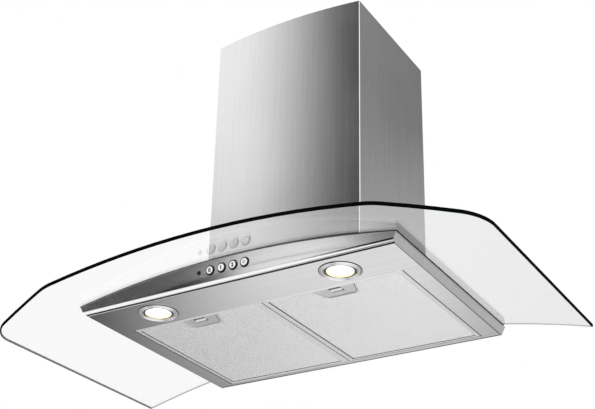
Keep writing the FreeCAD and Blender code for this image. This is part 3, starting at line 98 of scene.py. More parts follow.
class Tree:
    """Short calls for building a shader."""

    def __init__(self, tree):
        self.tree = tree
        tree.nodes.clear()

    def node(self, kind, **settings):
        made = self.tree.nodes.new(kind)
        for key, value in settings.items():
            setattr(made, key, value)
        return made

    def put(self, socket, value):
        """Link a socket, or set its value."""
        if isinstance(value, bpy.types.NodeSocket):
            self.tree.links.new(value, socket)
        else:
            socket.default_value = value

    def put_all(self, sockets, values):
        for socket, value in zip(sockets, values):
            self.put(socket, value)

    def math(self, operation, *values):
        made = self.node("ShaderNodeMath", operation=operation)
        self.put_all(made.inputs, values)
        return made.outputs[0]

    def ramp(self, value, low, high, to_low=0.0, to_high=1.0, smooth=True):
        made = self.node("ShaderNodeMapRange", interpolation_type="SMOOTHSTEP" if smooth else "LINEAR")
        self.put_all(made.inputs[:5], (value, low, high, to_low, to_high))
        return made.outputs[0]

    def around(self, noise, middle, spread):
        """A number that a noise moves a little about its middle."""
        return self.ramp(noise, *NOISE_SPAN, middle * (1.0 - spread), middle * (1.0 + spread))

    def blend(self, share, first, second):
        """Mix two numbers."""
        made = self.node("ShaderNodeMix", data_type="FLOAT")
        self.put_all((made.inputs[0], made.inputs[2], made.inputs[3]), (share, first, second))
        return made.outputs[0]

    def tint(self, share, first, second):
        """Mix two colours."""
        made = self.node("ShaderNodeMix", data_type="RGBA")
        self.put_all((made.inputs[0], made.inputs[6], made.inputs[7]), (share, first, second))
        return made.outputs[2]

    def noise(self, vector, scale, detail=3.0, rough=0.6):
        made = self.node("ShaderNodeTexNoise")
        for name, value in (("Vector", vector), ("Scale", scale), ("Detail", detail), ("Roughness", rough)):
            self.put(made.inputs[name], value)
        return made.outputs["Fac"]

    def stretched(self, vector, scale):
        made = self.node("ShaderNodeMapping")
        self.put(made.inputs["Vector"], vector)
        self.put(made.inputs["Scale"], scale)
        return made.outputs[0]

    def place(self):
        return self.node("ShaderNodeTexCoord").outputs["Object"]

    def split(self, vector):
        made = self.node("ShaderNodeSeparateXYZ")
        self.put(made.inputs[0], vector)
        return made.outputs

    def grain(self):
        """The piece's grain map: u across the brush lines and v along them, in metres."""
        return self.node("ShaderNodeUVMap", uv_map="grain").outputs[0]

    def bump(self, height, strength, distance):
        made = self.node("ShaderNodeBump")
        for name, value in (("Strength", strength), ("Distance", distance), ("Height", height)):
            self.put(made.inputs[name], value)
        return made.outputs[0]


def colour(red, green, blue):
    return (red, green, blue, 1.0)


def shades(base, darker, lighter):
    """A colour's darker and lighter neighbours."""
    return colour(*[c * (1.0 - darker) for c in base]), colour(*[min(1.0, c * (1.0 + lighter)) for c in base])


def start_material(name, **inputs):
    """A material with one Principled shader on its output, and what is the same all over its surface."""
    material = bpy.data.materials.new(name)
    material.use_nodes = True
    tree = Tree(material.node_tree)
    shader = tree.node("ShaderNodeBsdfPrincipled")
    output = tree.node("ShaderNodeOutputMaterial")
    tree.put(output.inputs["Surface"], shader.outputs[0])
    for key, value in inputs.items():
        shader.inputs[key.replace("_", " ")].default_value = value
    return material, tree, shader


def let_through(tree, shader, share, tone=(1.0, 1.0, 1.0)):
    """Let a share of the rays go straight on instead of meeting the shader."""
    gap = tree.node("ShaderNodeBsdfTransparent")
    tree.put(gap.inputs["Color"], colour(*tone))
    mixed = tree.node("ShaderNodeMixShader")
    tree.put_all(mixed.inputs, (share, shader.outputs[0], gap.outputs[0]))
    output = next(n for n in tree.tree.nodes if n.type == "OUTPUT_MATERIAL")
    tree.put(output.inputs["Surface"], mixed.outputs[0])


# ---- materials

BRUSH_LINE = 0.4 * MM
BRUSH_FINE = (1, 120)   # width and length of the brush lines, in line widths
BRUSH_BROAD = (14, 900)
BRUSH_STREAK = 0.06
ZINC_CRYSTALS = 110.0   # per metre


def brushed_metal(name, base, roughness, anisotropic):
    """Sheet metal with brush lines along v of its grain map."""
    material, tree, shader = start_material(name, Metallic=1.0, Anisotropic=anisotropic)
    grain = tree.grain()

    def lines(wide, long, detail, rough):
        scale = (1.0 / (wide * BRUSH_LINE), 1.0 / (long * BRUSH_LINE), 1.0)
        return tree.noise(tree.stretched(grain, scale), 1.0, detail, rough)

    fine = lines(*BRUSH_FINE, 4.0, 0.7)
    broad = lines(*BRUSH_BROAD, 3.0, 0.6)
    mixed = tree.math("ADD", tree.math("MULTIPLY", fine, 0.6), tree.math("MULTIPLY", broad, 0.4))
    streaks = tree.tint(tree.ramp(mixed, *NOISE_SPAN), *shades(base, BRUSH_STREAK, BRUSH_STREAK))
    tree.put(shader.inputs["Base Color"], streaks)
    cloud = tree.noise(tree.place(), *SHEET_CLOUD)
    varied = tree.math("ADD", tree.math("MULTIPLY", mixed, 0.5), tree.math("MULTIPLY", cloud, 0.5))
    tree.put(shader.inputs["Roughness"], tree.around(varied, roughness, 0.12))
    tangent = tree.node("ShaderNodeTangent", direction_type="UV_MAP", uv_map="grain")
    tree.put(shader.inputs["Tangent"], tangent.outputs[0])
    tree.put(shader.inputs["Normal"], tree.bump(fine, 0.12, BRUSH_LINE * 0.1))
    return material


def galvanised(name, base):
    """Zinc-coated sheet with its crystal pattern."""
    material, tree, shader = start_material(name, Metallic=0.85)
    cells = tree.node("ShaderNodeTexVoronoi", feature="F1")
    tree.put(cells.inputs["Vector"], tree.place())
    tree.put(cells.inputs["Scale"], ZINC_CRYSTALS)
    shade = tree.node("ShaderNodeSeparateColor")
    tree.put(shade.inputs[0], cells.outputs["Color"])
    tree.put(shader.inputs["Base Color"], tree.tint(shade.outputs[0], *shades(base, 0.14, 0.1)))
    tree.put(shader.inputs["Roughness"], tree.ramp(shade.outputs[1], 0.0, 1.0, 0.34, 0.52, smooth=False))
    tree.put(shader.inputs["Normal"], tree.bump(tree.noise(tree.place(), 220.0), 0.08, 0.2 * MM))
    return material


def cast_metal(name, base, roughness, metallic=1.0, spread=0.06):
    """Satin, cast or turned metal without a visible grain direction."""
    material, tree, shader = start_material(name, Metallic=metallic)
    fine = tree.noise(tree.place(), *GRIT)
    broad = tree.ramp(tree.noise(tree.place(), *CAST_CLOUD), *NOISE_SPAN)
    tree.put(shader.inputs["Base Color"], tree.tint(broad, *shades(base, spread, spread)))
    tree.put(shader.inputs["Roughness"], tree.around(fine, roughness, 0.2))
    tree.put(shader.inputs["Normal"], tree.bump(fine, 0.1, 0.03 * MM))
    return material


def moulded(name, base, roughness, spread=0.12):
    """Moulded plastic or rubber with a fine eroded texture."""
    material, tree, shader = start_material(name)
    fine = tree.noise(tree.place(), *MOULD_GRAIN)
    broad = tree.ramp(tree.noise(tree.place(), *MOULD_CLOUD), *NOISE_SPAN)
    tree.put(shader.inputs["Base Color"], tree.tint(broad, *shades(base, spread, spread)))
    tree.put(shader.inputs["Roughness"], tree.around(fine, roughness, 0.15))
    tree.put(shader.inputs["Normal"], tree.bump(fine, 0.25, 0.05 * MM))
    return material


def clear_glass(name):
    """Toughened glass. It lets light through instead of casting a dark shadow."""
    material, tree, shader = start_material(name, Roughness=0.0, IOR=1.52, Transmission_Weight=1.0,
                                            Coat_Weight=0.85, Coat_Roughness=0.0, Coat_IOR=1.8)
    tree.put(shader.inputs["Base Color"], colour(0.985, 0.995, 0.99))
    tree.put(shader.inputs["Normal"], tree.bump(tree.noise(tree.place(), *SMEARS), 0.015, 0.4 * MM))
    path = tree.node("ShaderNodeLightPath")
    either = tree.math("MAXIMUM", path.outputs["Is Shadow Ray"], path.outputs["Is Diffuse Ray"])
    let_through(tree, shader, either, (0.93, 0.95, 0.94))
    return material


def painted_glass_edge(name, base, roughness, specular):
    """The glass's ground and polished edge, drawn opaque: its colour is a painted reflection."""
    material, tree, shader = start_material(name, Specular_IOR_Level=specular)
    lines = tree.noise(tree.stretched(tree.place(), (30.0, 30.0, 2500.0)), 1.0)
    tree.put(shader.inputs["Base Color"], tree.tint(lines, *shades(base, 0.2, 0.2)))
    tree.put(shader.inputs["Roughness"], tree.around(lines, roughness, 0.2))
    return material


GLOW_OFFSET = (1.8 * MM, -2.5 * MM)
GLOW_WARM = (18.8 * MM, 23.2 * MM)
LENS_WAVE = 1.6 * MM


def lamp_face(name, centre_x):
    """Frosted lamp lens, lit from behind: white, and warmer at its rear rim."""
    material, tree, shader = start_material(name, Roughness=0.35, Emission_Strength=1.0)
    place = tree.split(tree.place())
    across = tree.math("SUBTRACT", place[0], centre_x + GLOW_OFFSET[0])
    along = tree.math("SUBTRACT", place[1], LAMP_Y + GLOW_OFFSET[1])
    squares = [tree.math("MULTIPLY", way, way) for way in (across, along)]
    radius = tree.math("SQRT", tree.math("ADD", *squares))
    glow = tree.tint(tree.ramp(radius, *GLOW_WARM), colour(1.0, 0.985, 0.93), colour(0.95, 0.74, 0.22))
    rings = tree.math("SINE", tree.math("MULTIPLY", radius, 2 * math.pi / LENS_WAVE))
    tree.put(shader.inputs["Base Color"], glow)
    tree.put(shader.inputs["Emission Color"], glow)
    tree.put(shader.inputs["Normal"], tree.bump(rings, 0.3, 0.2 * MM))
    return material


def filter_backing(name, base, roughness):
    """The filter's pad: plain behind the strands, with a diamond grid on its upper side whose openings are
    painted shade, a quarter as bright as the metal.
    """
    material, tree, shader = start_material(name, Metallic=1.0)
    place = tree.split(tree.place())
    across, along = [tree.math("MULTIPLY", place[i], math.pi / DIAMOND[i]) for i in (0, 1)]
    ways = [tree.math("SINE", tree.math(kind, across, along)) for kind in ("ADD", "SUBTRACT")]
    middle = tree.math("MINIMUM", *[tree.math("ABSOLUTE", way) for way in ways])
    # painted shade: the grid's openings are darkened, on the upper side only
    opening = tree.math("MULTIPLY", tree.ramp(middle, 0.2, 0.45), tree.ramp(place[2], *PAD_UPPER))
    tree.put(shader.inputs["Base Color"], tree.tint(opening, *reversed(shades(base, 0.75, 0.0))))
    fine = tree.noise(tree.place(), *GRIT)
    tree.put(shader.inputs["Roughness"], tree.around(fine, roughness, 0.2))
    height = tree.math("SUBTRACT", tree.math("MULTIPLY", fine, 0.06), opening)
    tree.put(shader.inputs["Normal"], tree.bump(height, 0.5, 0.5 * MM))
    return material


def indicator(name):
    """Dark red lens of the small lamp beside the buttons."""
    material, tree, shader = start_material(name, Coat_Weight=0.6)
    fine = tree.noise(tree.place(), 900.0)
    reds = colour(0.006, 0.004, 0.004), colour(0.012, 0.006, 0.006)
    tree.put(shader.inputs["Base Color"], tree.tint(fine, *reds))
    tree.put(shader.inputs["Roughness"], tree.ramp(fine, *NOISE_SPAN, 0.12, 0.2))
    return material


def circuit_board(name):
    """Green solder mask with the faint lines of its copper tracks."""
    material, tree, shader = start_material(name)
    cells = tree.node("ShaderNodeTexBrick")
    tree.put(cells.inputs["Vector"], tree.place())
    tree.put(cells.inputs["Scale"], 160.0)
    greens = {"Color1": (0.016, 0.16, 0.06), "Color2": (0.014, 0.13, 0.05), "Mortar": (0.03, 0.26, 0.1)}
    for socket, green in greens.items():
        tree.put(cells.inputs[socket], colour(*green))
    tree.put(shader.inputs["Base Color"], cells.outputs["Color"])
    fine = tree.noise(tree.place(), 1200.0)
    tree.put(shader.inputs["Roughness"], tree.ramp(fine, *NOISE_SPAN, 0.25, 0.4))
    return material


STEEL = (0.84, 0.832, 0.84)

# Base colour, roughness, and where they differ from the usual, how metallic and how cloudy.
CAST_LOOKS = {
    "mesh_aluminium": ((0.97, 0.97, 0.972), 0.26, 0.85, 0.015),
    "frame_aluminium": ((0.97, 0.97, 0.972), 0.3, 0.45, 0.015),
    "tray_metal": ((0.84, 0.84, 0.85), 0.35, 1.0, 0.02),
    # painted shade and painted highlight of the latch: a near-black plate and a near-white lip
    "slot_shade_black": ((0.012, 0.012, 0.013), 0.5),
    "lip_highlight_white": ((0.97, 0.97, 0.97), 0.32, 0.12, 0.01),
    "chrome": ((0.95, 0.95, 0.955), 0.1),
    "lamp_chrome": ((0.97, 0.97, 0.972), 0.3, 1.0, 0.01),
    "spring_wire": ((0.5, 0.5, 0.52), 0.25),
    "plated": ((0.6, 0.6, 0.61), 0.3),
    "reflector": ((0.9, 0.9, 0.88), 0.1),
}
MOULDED_LOOKS = {
    "button_white": ((0.9, 0.9, 0.895), 0.3, 0.02),
    "black_rubber": ((0.005, 0.005, 0.0055), 0.7),
    "black_plastic": ((0.035, 0.035, 0.038), 0.45),
    "grey_plastic": ((0.2, 0.2, 0.21), 0.42),
    "outlet_plastic": ((0.08, 0.08, 0.085), 0.45),
    "motor_paint": ((0.16, 0.17, 0.185), 0.35),
    "ceramic": ((0.8, 0.79, 0.75), 0.3, 0.03),
    "lead_sheath": ((0.5, 0.5, 0.5), 0.5),
}


def make_looks():
    look = {
        "steel": brushed_metal("steel", STEEL, 0.24, 0.6),
        "fascia_steel": brushed_metal("fascia_steel", STEEL, 0.09, 0.2),
        "zinc": galvanised("zinc", (0.62, 0.64, 0.66)),
        "filter_pad": filter_backing("filter_pad", (0.95, 0.95, 0.952), 0.3),
        "clear_glass": clear_glass("clear_glass"),
        # painted reflection of the glass's rim: opaque, dark at the front and sides, light along the wall
        "rim_painted_dark": painted_glass_edge("rim_painted_dark", (0.002, 0.003, 0.003), 0.3, 0.004),
        "rim_painted_light": painted_glass_edge("rim_painted_light", (0.42, 0.45, 0.44), 0.2, 0.12),
        "indicator": indicator("indicator"),
        "board": circuit_board("board"),
    }
    look.update({name: cast_metal(name, *facts) for name, facts in CAST_LOOKS.items()})
    look.update({name: moulded(name, *facts) for name, facts in MOULDED_LOOKS.items()})
    for side, sign in SIDES.items():
        look["lamp_face_" + side] = lamp_face("lamp_face_" + side, sign * LAMP_X)
    return look


# ---- meshes

def millimetres(points):
    return [(a * MM, b * MM) for a, b in points]


def arc(centre, radius, start, stop, steps):
    """Points of an arc, angles in degrees."""
    turns = [math.radians(start + (stop - start) * i / steps) for i in range(steps + 1)]
    return [(centre[0] + radius * math.cos(t), centre[1] + radius * math.sin(t)) for t in turns]


def wire(centre, radius):
    """Closed outline of a round wire."""
    return arc(centre, radius, 0, 330, 11)


def bridge(bm, rows, around=True, closed=True):
    """Add faces between rows of points, also between a row's ends (around) and the outer rows (closed)."""
    count = len(rows[0])
    for this, following in zip(rows, rows[1:] + (rows[:1] if closed else [])):
        for i in range(count if around else count - 1):
            k = (i + 1) % count
            bm.faces.new((this[i], this[k], following[k], following[i]))


def capped(bm, rows):
    """Add a solid through rows of points, with a cap at its first and last row."""
    bridge(bm, rows, closed=False)
    bm.faces.new(list(reversed(rows[0])))
    bm.faces.new(rows[-1])


def turned(bm, profile, place, steps):
    """Rows of points: a profile of (radius, height) turned about the third axis of a placement."""
    turns = [2 * math.pi * i / steps for i in range(steps)]
    points = [[(r * math.cos(t), r * math.sin(t), h) for t in turns] for r, h in profile]
    return [[bm.verts.new(place @ Vector(point)) for point in row] for row in points]


def lathe(bm, profile, place, steps=96):
    """Add a ring: its profile is closed."""
    bridge(bm, turned(bm, profile, place, steps))


def disc(bm, profile, place, steps=64):
    """Add a turned solid: its profile runs from its rim in and is capped at both ends."""
    capped(bm, turned(bm, profile, place, steps))


def prism(bm, outline, heights):
    """Add an upright prism over an outline, in millimetres from the underside."""
    capped(bm, [[bm.verts.new((x * MM, y * MM, UNDERSIDE_Z + z * MM)) for x, y in outline] for z in heights])


def lay_grain(bm, along):
    """Grain map in metres. v runs along the given axis, u across it on each face's own plane."""
    layer = bm.loops.layers.uv.new("grain")
    axis = "XYZ".index(along)
    others = [i for i in range(3) if i != axis]
    for face in bm.faces:
        normal = [abs(c) for c in face.normal]
        if normal[axis] > max(normal[i] for i in others):
            across, run = others
        else:
            across = others[1] if normal[others[0]] > normal[others[1]] else others[0]
            run = axis
        for loop in face.loops:
            place = loop.vert.co
            loop[layer].uv = (place[across], place[run])


def round_edges(bm, radius, segments, crease=30.0, chosen=None, profile=0.5):
    """Round the edges that turn by more than the crease, or those of them that are chosen."""
    limit = math.radians(crease)
    sharp = [e for e in bm.edges if e.is_manifold and e.calc_face_angle(0.0) > limit]
    if chosen:
        sharp = [e for e in sharp if chosen(e)]
    made = bmesh.ops.bevel(bm, geom=sharp, offset=radius, offset_type="OFFSET", segments=segments,
                           profile=profile, affect="EDGES", clamp_overlap=True)
    return made["faces"]


# ---- pieces from CAD nodes

def add_object(name, mesh, material):
    piece = bpy.data.objects.new(name, mesh)
    bpy.context.scene.collection.objects.link(piece)
    for item in material if isinstance(material, list) else [material]:
        mesh.materials.append(item)
    return piece


def smooth(piece, angle):
    mesh = piece.data
    for face in mesh.polygons:
        face.use_smooth = True
    mesh.set_sharp_from_angle(angle=math.radians(angle))
    weighted = piece.modifiers.new("weighted", "WEIGHTED_NORMAL")
    weighted.keep_sharp = True


def finished(bm, name, material, along="X", angle=50.0):
    """An object from a bmesh, with its grain map and smooth shading."""
    bm.normal_update()
    lay_grain(bm, along)
    mesh = bpy.data.meshes.new(name)
    bm.to_mesh(mesh)
    bm.free()
    piece = add_object(name, mesh, material)
    smooth(piece, angle)
    return piece


def outward(bm, name, material, along="X", angle=50.0):
    """A finished object, after its faces are turned outwards."""
    bmesh.ops.recalc_face_normals(bm, faces=bm.faces)
    return finished(bm, name, material, along, angle)


def turned_piece(make, name, profile, place, material):
    """A ring or disc as a piece of its own, from a profile in millimetres."""
    bm = bmesh.new()
    make(bm, millimetres(profile), place)
    return outward(bm, name, material)


def stand_for(piece, *nodes):
    """The piece takes the place of CAD nodes: their body and their look."""
    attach(piece, BODY_OF[nodes[0]])
    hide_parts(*nodes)


def add_piece(piece, node):
    """A detail that moves with a CAD node."""
    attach(piece, BODY_OF[node])


def copied(node):
    """A CAD node's mesh, with its corners welded and its flat faces whole."""
    bm = bmesh.new()
    bm.from_mesh(frame["nodes"][node].data)
    for layer in list(bm.loops.layers.uv.values()):
        bm.loops.layers.uv.remove(layer)
    bmesh.ops.remove_doubles(bm, verts=bm.verts, dist=WELD)
    bmesh.ops.dissolve_limit(bm, angle_limit=math.radians(FLAT_ANGLE), verts=bm.verts, edges=bm.edges)
    return bm


def dressed(node, material, bevel=0.0, segments=2, along="X", edit=None):
    """A copy of a CAD node with softened edges and a grain map, which takes the node's place."""
    bm = copied(node)
    if edit:
        edit(bm)
    if bevel:
        round_edges(bm, bevel, segments)
    piece = finished(bm, node + "_look", material, along)
    stand_for(piece, node)
    return piece


def paint_node(node, material):
    """A CAD node that shows as it is, with a new material."""
    target = frame["nodes"][node]
    for place in target.material_slots:
        place.material = material
    if not target.material_slots:
        target.data.materials.append(material)


def coil(node, material):
    """A spring as a piece of its own, with a mesh of its own, in its node's place."""
    piece = finished(copied(node), node + "_look", material)
    stand_for(piece, node)
    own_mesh(piece)


# ---- glass

# The glass's steep faces and rounded rim are painted opaque, as a painted reflection of its edge.
LEVEL_FACE = 0.92
RIM_ROUNDING = 2.4 * MM
RIM_SEGMENTS = 5
RIM_PROFILE = 0.6
REAR_RIM_Y = -14 * MM
CUTOUT = (150 * MM, -220 * MM)
GLASS_HOLES = [(-70 * MM, -230 * MM), (70 * MM, -230 * MM), (-200 * MM, -40 * MM), (200 * MM, -40 * MM)]
HOLE_MARGIN = 8 * MM


def glass_visor(clear, rim_painted_dark, rim_painted_light):
    """The visor, with its polished rim drawn opaque: a painted dark reflection at the front and sides, a
    painted light reflection along the wall.
    """
    bm = copied("glass_panel")
    bm.normal_update()
    for face in bm.faces:
        face.material_index = 0 if abs(face.normal.z) > LEVEL_FACE else 1

    def on_rim(e):
        middle = (e.verts[0].co + e.verts[1].co) / 2
        if abs(middle.x) < CUTOUT[0] and middle.y > CUTOUT[1]:
            return False
        return all(math.hypot(middle.x - x, middle.y - y) > HOLE_MARGIN for x, y in GLASS_HOLES)

    for face in round_edges(bm, RIM_ROUNDING, RIM_SEGMENTS, chosen=on_rim, profile=RIM_PROFILE):
        face.material_index = 1
    # the rim along the wall gets the lighter painted reflection
    for face in bm.faces:
        if face.material_index and face.calc_center_median().y > REAR_RIM_Y:
            face.material_index = 2
    stand_for(finished(bm, "glass_panel_look", [clear, rim_painted_dark, rim_painted_light]), "glass_panel")


# ---- steel body

LEAN = math.radians(6.4)
FLARE = math.tan(math.radians(27.3))
FASCIA_Y = -411.3 * MM
FASCIA_ROUNDING = 0.1 * MM
BODY_HALF = 287.85 * MM
NOSE_TOP = 5.739 * MM
NOSE_SHEET = 1.0 * MM
# Bends of the nose: radius, from and to angle in degrees, and steps.
NOSE_BENDS = [(1.2 * MM, 0, 24, 4), (22.9 * MM, 24, 38, 5), (1.2 * MM, 38, 165, 9)]


def on_slope(x, depth, height):
    """A point `depth` behind the fascia's face and `height` up its slope."""
    y = FASCIA_Y + depth * math.cos(LEAN) - height * math.sin(LEAN)
    z = UNDERSIDE_Z + depth * math.sin(LEAN) + height * math.cos(LEAN)
    return Vector((x, y, z))


def nose_line():
    """The nose's outer line as (depth, height, turn): a tight bend, a nearly flat face, a curled-in edge."""
    depth, height = 0.0, NOSE_TOP
    line = [(depth, height, 0.0)]
    for radius, start, stop, steps in NOSE_BENDS:
        turns = [math.radians(start + (stop - start) * i / steps) for i in range(steps + 1)]
        for before, after in zip(turns, turns[1:]):
            depth += radius * (math.cos(before) - math.cos(after))
            height -= radius * (math.sin(after) - math.sin(before))
            line.append((depth, height, after))
    return line


def front_fascia(material):
    """The fascia's plate as drawn, with a nose formed more crisply in the same space."""
    bm = copied("front_fascia")
    cut = on_slope(0, 0, NOSE_TOP)
    up = Vector((0, -math.sin(LEAN), math.cos(LEAN)))
    geometry = list(bm.verts) + list(bm.edges) + list(bm.faces)
    bmesh.ops.bisect_plane(bm, geom=geometry, dist=WELD, plane_co=cut, plane_no=up, clear_inner=True)
    bmesh.ops.holes_fill(bm, edges=[e for e in bm.edges if e.is_boundary])
    plate_low = cut.z + 1 * MM
    round_edges(bm, FASCIA_ROUNDING, 2, chosen=lambda e: min(v.co.z for v in e.verts) > plate_low)
    outer = nose_line()
    inner = [(d + NOSE_SHEET * math.cos(t), h + NOSE_SHEET * math.sin(t), t) for d, h, t in reversed(outer)]
    rows = []
    for d, h, _ in outer + inner:
        half = BODY_HALF + FLARE * (on_slope(0, d, h).z - UNDERSIDE_Z)
        rows.append([bm.verts.new(on_slope(side * half, d, h)) for side in (-1, 1)])
    bridge(bm, rows, around=False)
    for side in (0, 1):
        for i in range(len(outer) - 1):
            bm.faces.new([rows[k][side] for k in (i, i + 1, -2 - i, -1 - i)])
    stand_for(outward(bm, "front_fascia_look", material, "X", 35.0), "front_fascia")


PAN_EDGE_Y = (-406.9 * MM, -405.5 * MM)
PAN_EDGE_TOP = UNDERSIDE_Z + 10.3 * MM
PAN_FOLD = 1.6 * MM
FOLD_REACH = (0.2 * MM, 0.1 * MM)
SEAM_OPENING = 4.4 * MM
# A black strip of painted shade in the seam behind the nose.
SEAM_SHADE_Y = (-407.2 * MM, -402.2 * MM)
SEAM_SHADE_Z = (UNDERSIDE_Z + 1.4 * MM, UNDERSIDE_Z + 3.2 * MM)
SEAM_SHADE_END = 2 * MM
SEAM_SHADE_CROWN = 0.5 * MM
HEM_Z = 13.3 * MM
HEM_Y = (-410.0 * MM, -1.0 * MM)
HEM_RADIUS = 0.6 * MM
HEM_INSET = 0.1 * MM
CHIMNEY_BENDS = [(152.1 * MM, -255.1 * MM, 1.7 * MM), (151.1 * MM, -254.1 * MM, 0.8 * MM)]   # x, y, radius
BEND_REACH = (0.4 * MM, 0.7 * MM)
GASKET_BULGE = (0.9 * MM, 0.25 * MM)
GASKET_REACH = 0.5 * MM


def pan_edges(bm):
    """Set the pan's front edge back to open the seam behind the nose, and round the folds into its sides."""
    for vert in bm.verts:
        if PAN_EDGE_Y[0] < vert.co.y < PAN_EDGE_Y[1] and vert.co.z < PAN_EDGE_TOP:
            vert.co.y += SEAM_OPENING
    bm.normal_update()

    def at_fold(e):
        away = [(abs(abs(v.co.x) - BODY_HALF), abs(v.co.z - UNDERSIDE_Z)) for v in e.verts]
        return all(x < FOLD_REACH[0] and z < FOLD_REACH[1] for x, z in away)

    round_edges(bm, PAN_FOLD, 4, 15.0, at_fold)


def side_hems(material):
    """Hems of the pan's two sides: the folded sheet just under the gasket."""
    turn = Matrix.Rotation(math.radians(90), 4, "X")
    for side, sign in SIDES.items():
        bm = bmesh.new()
        x = sign * (BODY_HALF + FLARE * HEM_Z - HEM_INSET)
        place = Matrix.Translation((x, HEM_Y[1], UNDERSIDE_Z + HEM_Z)) @ turn
        disc(bm, [(HEM_RADIUS, 0.0), (HEM_RADIUS, HEM_Y[1] - HEM_Y[0])], place, 20)
        add_piece(outward(bm, "side_hem_" + side, material, "Y"), "underside_pan")


def seam_shade(material):
    """Black strip inside the seam behind the nose: painted shade."""
    bm = bmesh.new()
    (y0, y1), (z0, z1) = SEAM_SHADE_Y, SEAM_SHADE_Z
    half = BODY_HALF - SEAM_SHADE_END
    line = arc((0.5 * (y0 + y1), z0 + SEAM_SHADE_CROWN), 0.5 * (y1 - y0), 180, 360, 6) + [(y1, z1), (y0, z1)]
    rows = [[bm.verts.new((side * half, y, z)) for side in (-1, 1)] for y, z in line]
    bridge(bm, rows, around=False)
    for side in (0, 1):
        bm.faces.new([row[side] for row in rows])
    add_piece(outward(bm, "nose_shade_strip", material), "glass_gasket")


def chimney_bends(bm):
    """Round the lower chimney's two vertical front bends, more outside than inside the sheet."""
    for x, y, radius in CHIMNEY_BENDS:
        def at_bend(e, x=x, y=y):
            away = [(abs(abs(v.co.x) - x), abs(v.co.y - y)) for v in e.verts]
            return all(a < BEND_REACH[0] and b < BEND_REACH[1] for a, b in away)
        round_edges(bm, radius, 4, 20.0, at_bend)


def bulging(bm):
    """The gasket's bead stands a little out from under the glass."""
    for vert in bm.verts:
        place = vert.co
        height = place.z - UNDERSIDE_Z
        if place.y < FASCIA_Y - math.tan(LEAN) * height + GASKET_REACH:
            place.y -= GASKET_BULGE[1]
        if abs(place.x) > BODY_HALF + FLARE * height - GASKET_REACH:
            place.x += math.copysign(GASKET_BULGE[0], place.x)


# ---- lamps

LAMP_X = 172.5 * MM
LAMP_Y = -358.0 * MM

# Profiles of (radius, height) in millimetres from the underside.
LAMP_GROOVE = [(29.9, -0.7), (29.1, -0.5), (28.3, -0.7)]
LAMP_BACK = [(24.65, 1.5), (27.6, 1.5), (27.6, 13.0), (29.2, 13.0), (29.2, -0.05)]
OUTER_LIP = arc((31.9, -0.4), 1.55, 0, -180, 10)
INNER_LIP = arc((26.2, -0.4), 1.55, 0, -180, 10)
LAMP_RING = [(33.45, -0.05)] + OUTER_LIP + LAMP_GROOVE + INNER_LIP + LAMP_BACK
# black ring of painted shade round the flange's edge
LAMP_SHADE_RING = wire((33.75, -0.35), 0.42)
LAMP_SEAL = wire((23.75, -0.5), 0.85)
LAMP_BEZEL = wire((22.1, -0.65), 0.8)
LENS_RIM = [(24.0, 1.5), (24.0, 0.9), (21.6, 0.0)]
LAMP_LENS = LENS_RIM + [(21.2 - 1.3 * i, -0.1 - 0.4 * (i % 2) - 0.03 * i) for i in range(16)]


def lamp(side, chrome, seal, glow):
    """One recessed lamp: a turned ring with two lips and a groove, a black ring of painted shade round its
    edge, a black seal, a bezel and its lens.
    """
    place = Matrix.Translation((SIDES[side] * LAMP_X, LAMP_Y, UNDERSIDE_Z))
    ring, lens = "lamp_ring_" + side, "lamp_lens_" + side
    stand_for(turned_piece(lathe, ring + "_look", LAMP_RING, place, chrome), ring)
    add_piece(turned_piece(lathe, "lamp_shade_ring_" + side, LAMP_SHADE_RING, place, seal), ring)
    add_piece(turned_piece(lathe, "lamp_seal_" + side, LAMP_SEAL, place, seal), ring)
    add_piece(turned_piece(lathe, "lamp_bezel_" + side, LAMP_BEZEL, place, chrome), ring)
    stand_for(turned_piece(disc, lens + "_look", LAMP_LENS, place, glow), lens)


# ---- buttons

BUTTON_X = [(-31.1 + 21.6 * i) * MM for i in range(4)]
BUTTON_SLOPE = 23.3 * MM / math.cos(LEAN)
BUTTON_SIGNS = ["0", "1", "2", None]   # the last one has a lamp sign

# Profiles of (radius, height) in millimetres from the fascia.
CAP_STEM = [(2.5, -11.8), (2.5, -2.8), (6.8, -2.8), (6.8, 1.75)]
BUTTON_CAP = CAP_STEM + arc((6.45, 1.75), 0.35, 0, 90, 3) + [(6.05, 2.1)]
BUTTON_FACE = [(5.95, 2.0)] + arc((5.65, 2.05), 0.3, 0, 90, 3) + [(4.4, 2.36), (2.6, 2.33), (1.0, 2.31)]

SIGN_HEIGHT = 2.28 * MM
SIGN_SIZE = 9.0 * MM
SIGN_WEIGHT = 0.42 * MM
SIGN_DEPTH = 0.12 * MM
LAMP_SIGN_RING = (1.25 * MM, 1.9 * MM)
LAMP_SIGN_RAYS = 6
RAY_PLACE = 2.95 * MM
RAY_SIZE = (1.1 * MM, 0.5 * MM, SIGN_DEPTH, 1.0)


def facing(x, height):
    """Placement on the fascia: first axis to the right, second up the slope, third outwards."""
    up = Vector((0, -math.sin(LEAN), math.cos(LEAN)))
    out = Vector((0, -math.cos(LEAN), -math.sin(LEAN)))
    turn = Matrix((Vector((1, 0, 0)), up, out)).transposed().to_4x4()
    return Matrix.Translation(on_slope(x, 0, height)) @ turn


def lamp_sign(bm, place):
    """A small lamp sign: a ring with its rays."""
    inside, outside = LAMP_SIGN_RING
    lathe(bm, [(outside, 0), (outside, SIGN_DEPTH), (inside, SIGN_DEPTH), (inside, 0)], place, 32)
    bar = Matrix.Translation((RAY_PLACE, 0, SIGN_DEPTH / 2)) @ Matrix.Diagonal(RAY_SIZE)
    for i in range(LAMP_SIGN_RAYS):
        turn = math.radians(360 * (i + 0.5) / LAMP_SIGN_RAYS)
        ray = bmesh.ops.create_cube(bm, size=1.0)["verts"]
        bmesh.ops.transform(bm, verts=ray, matrix=place @ Matrix.Rotation(turn, 4, "Z") @ bar)


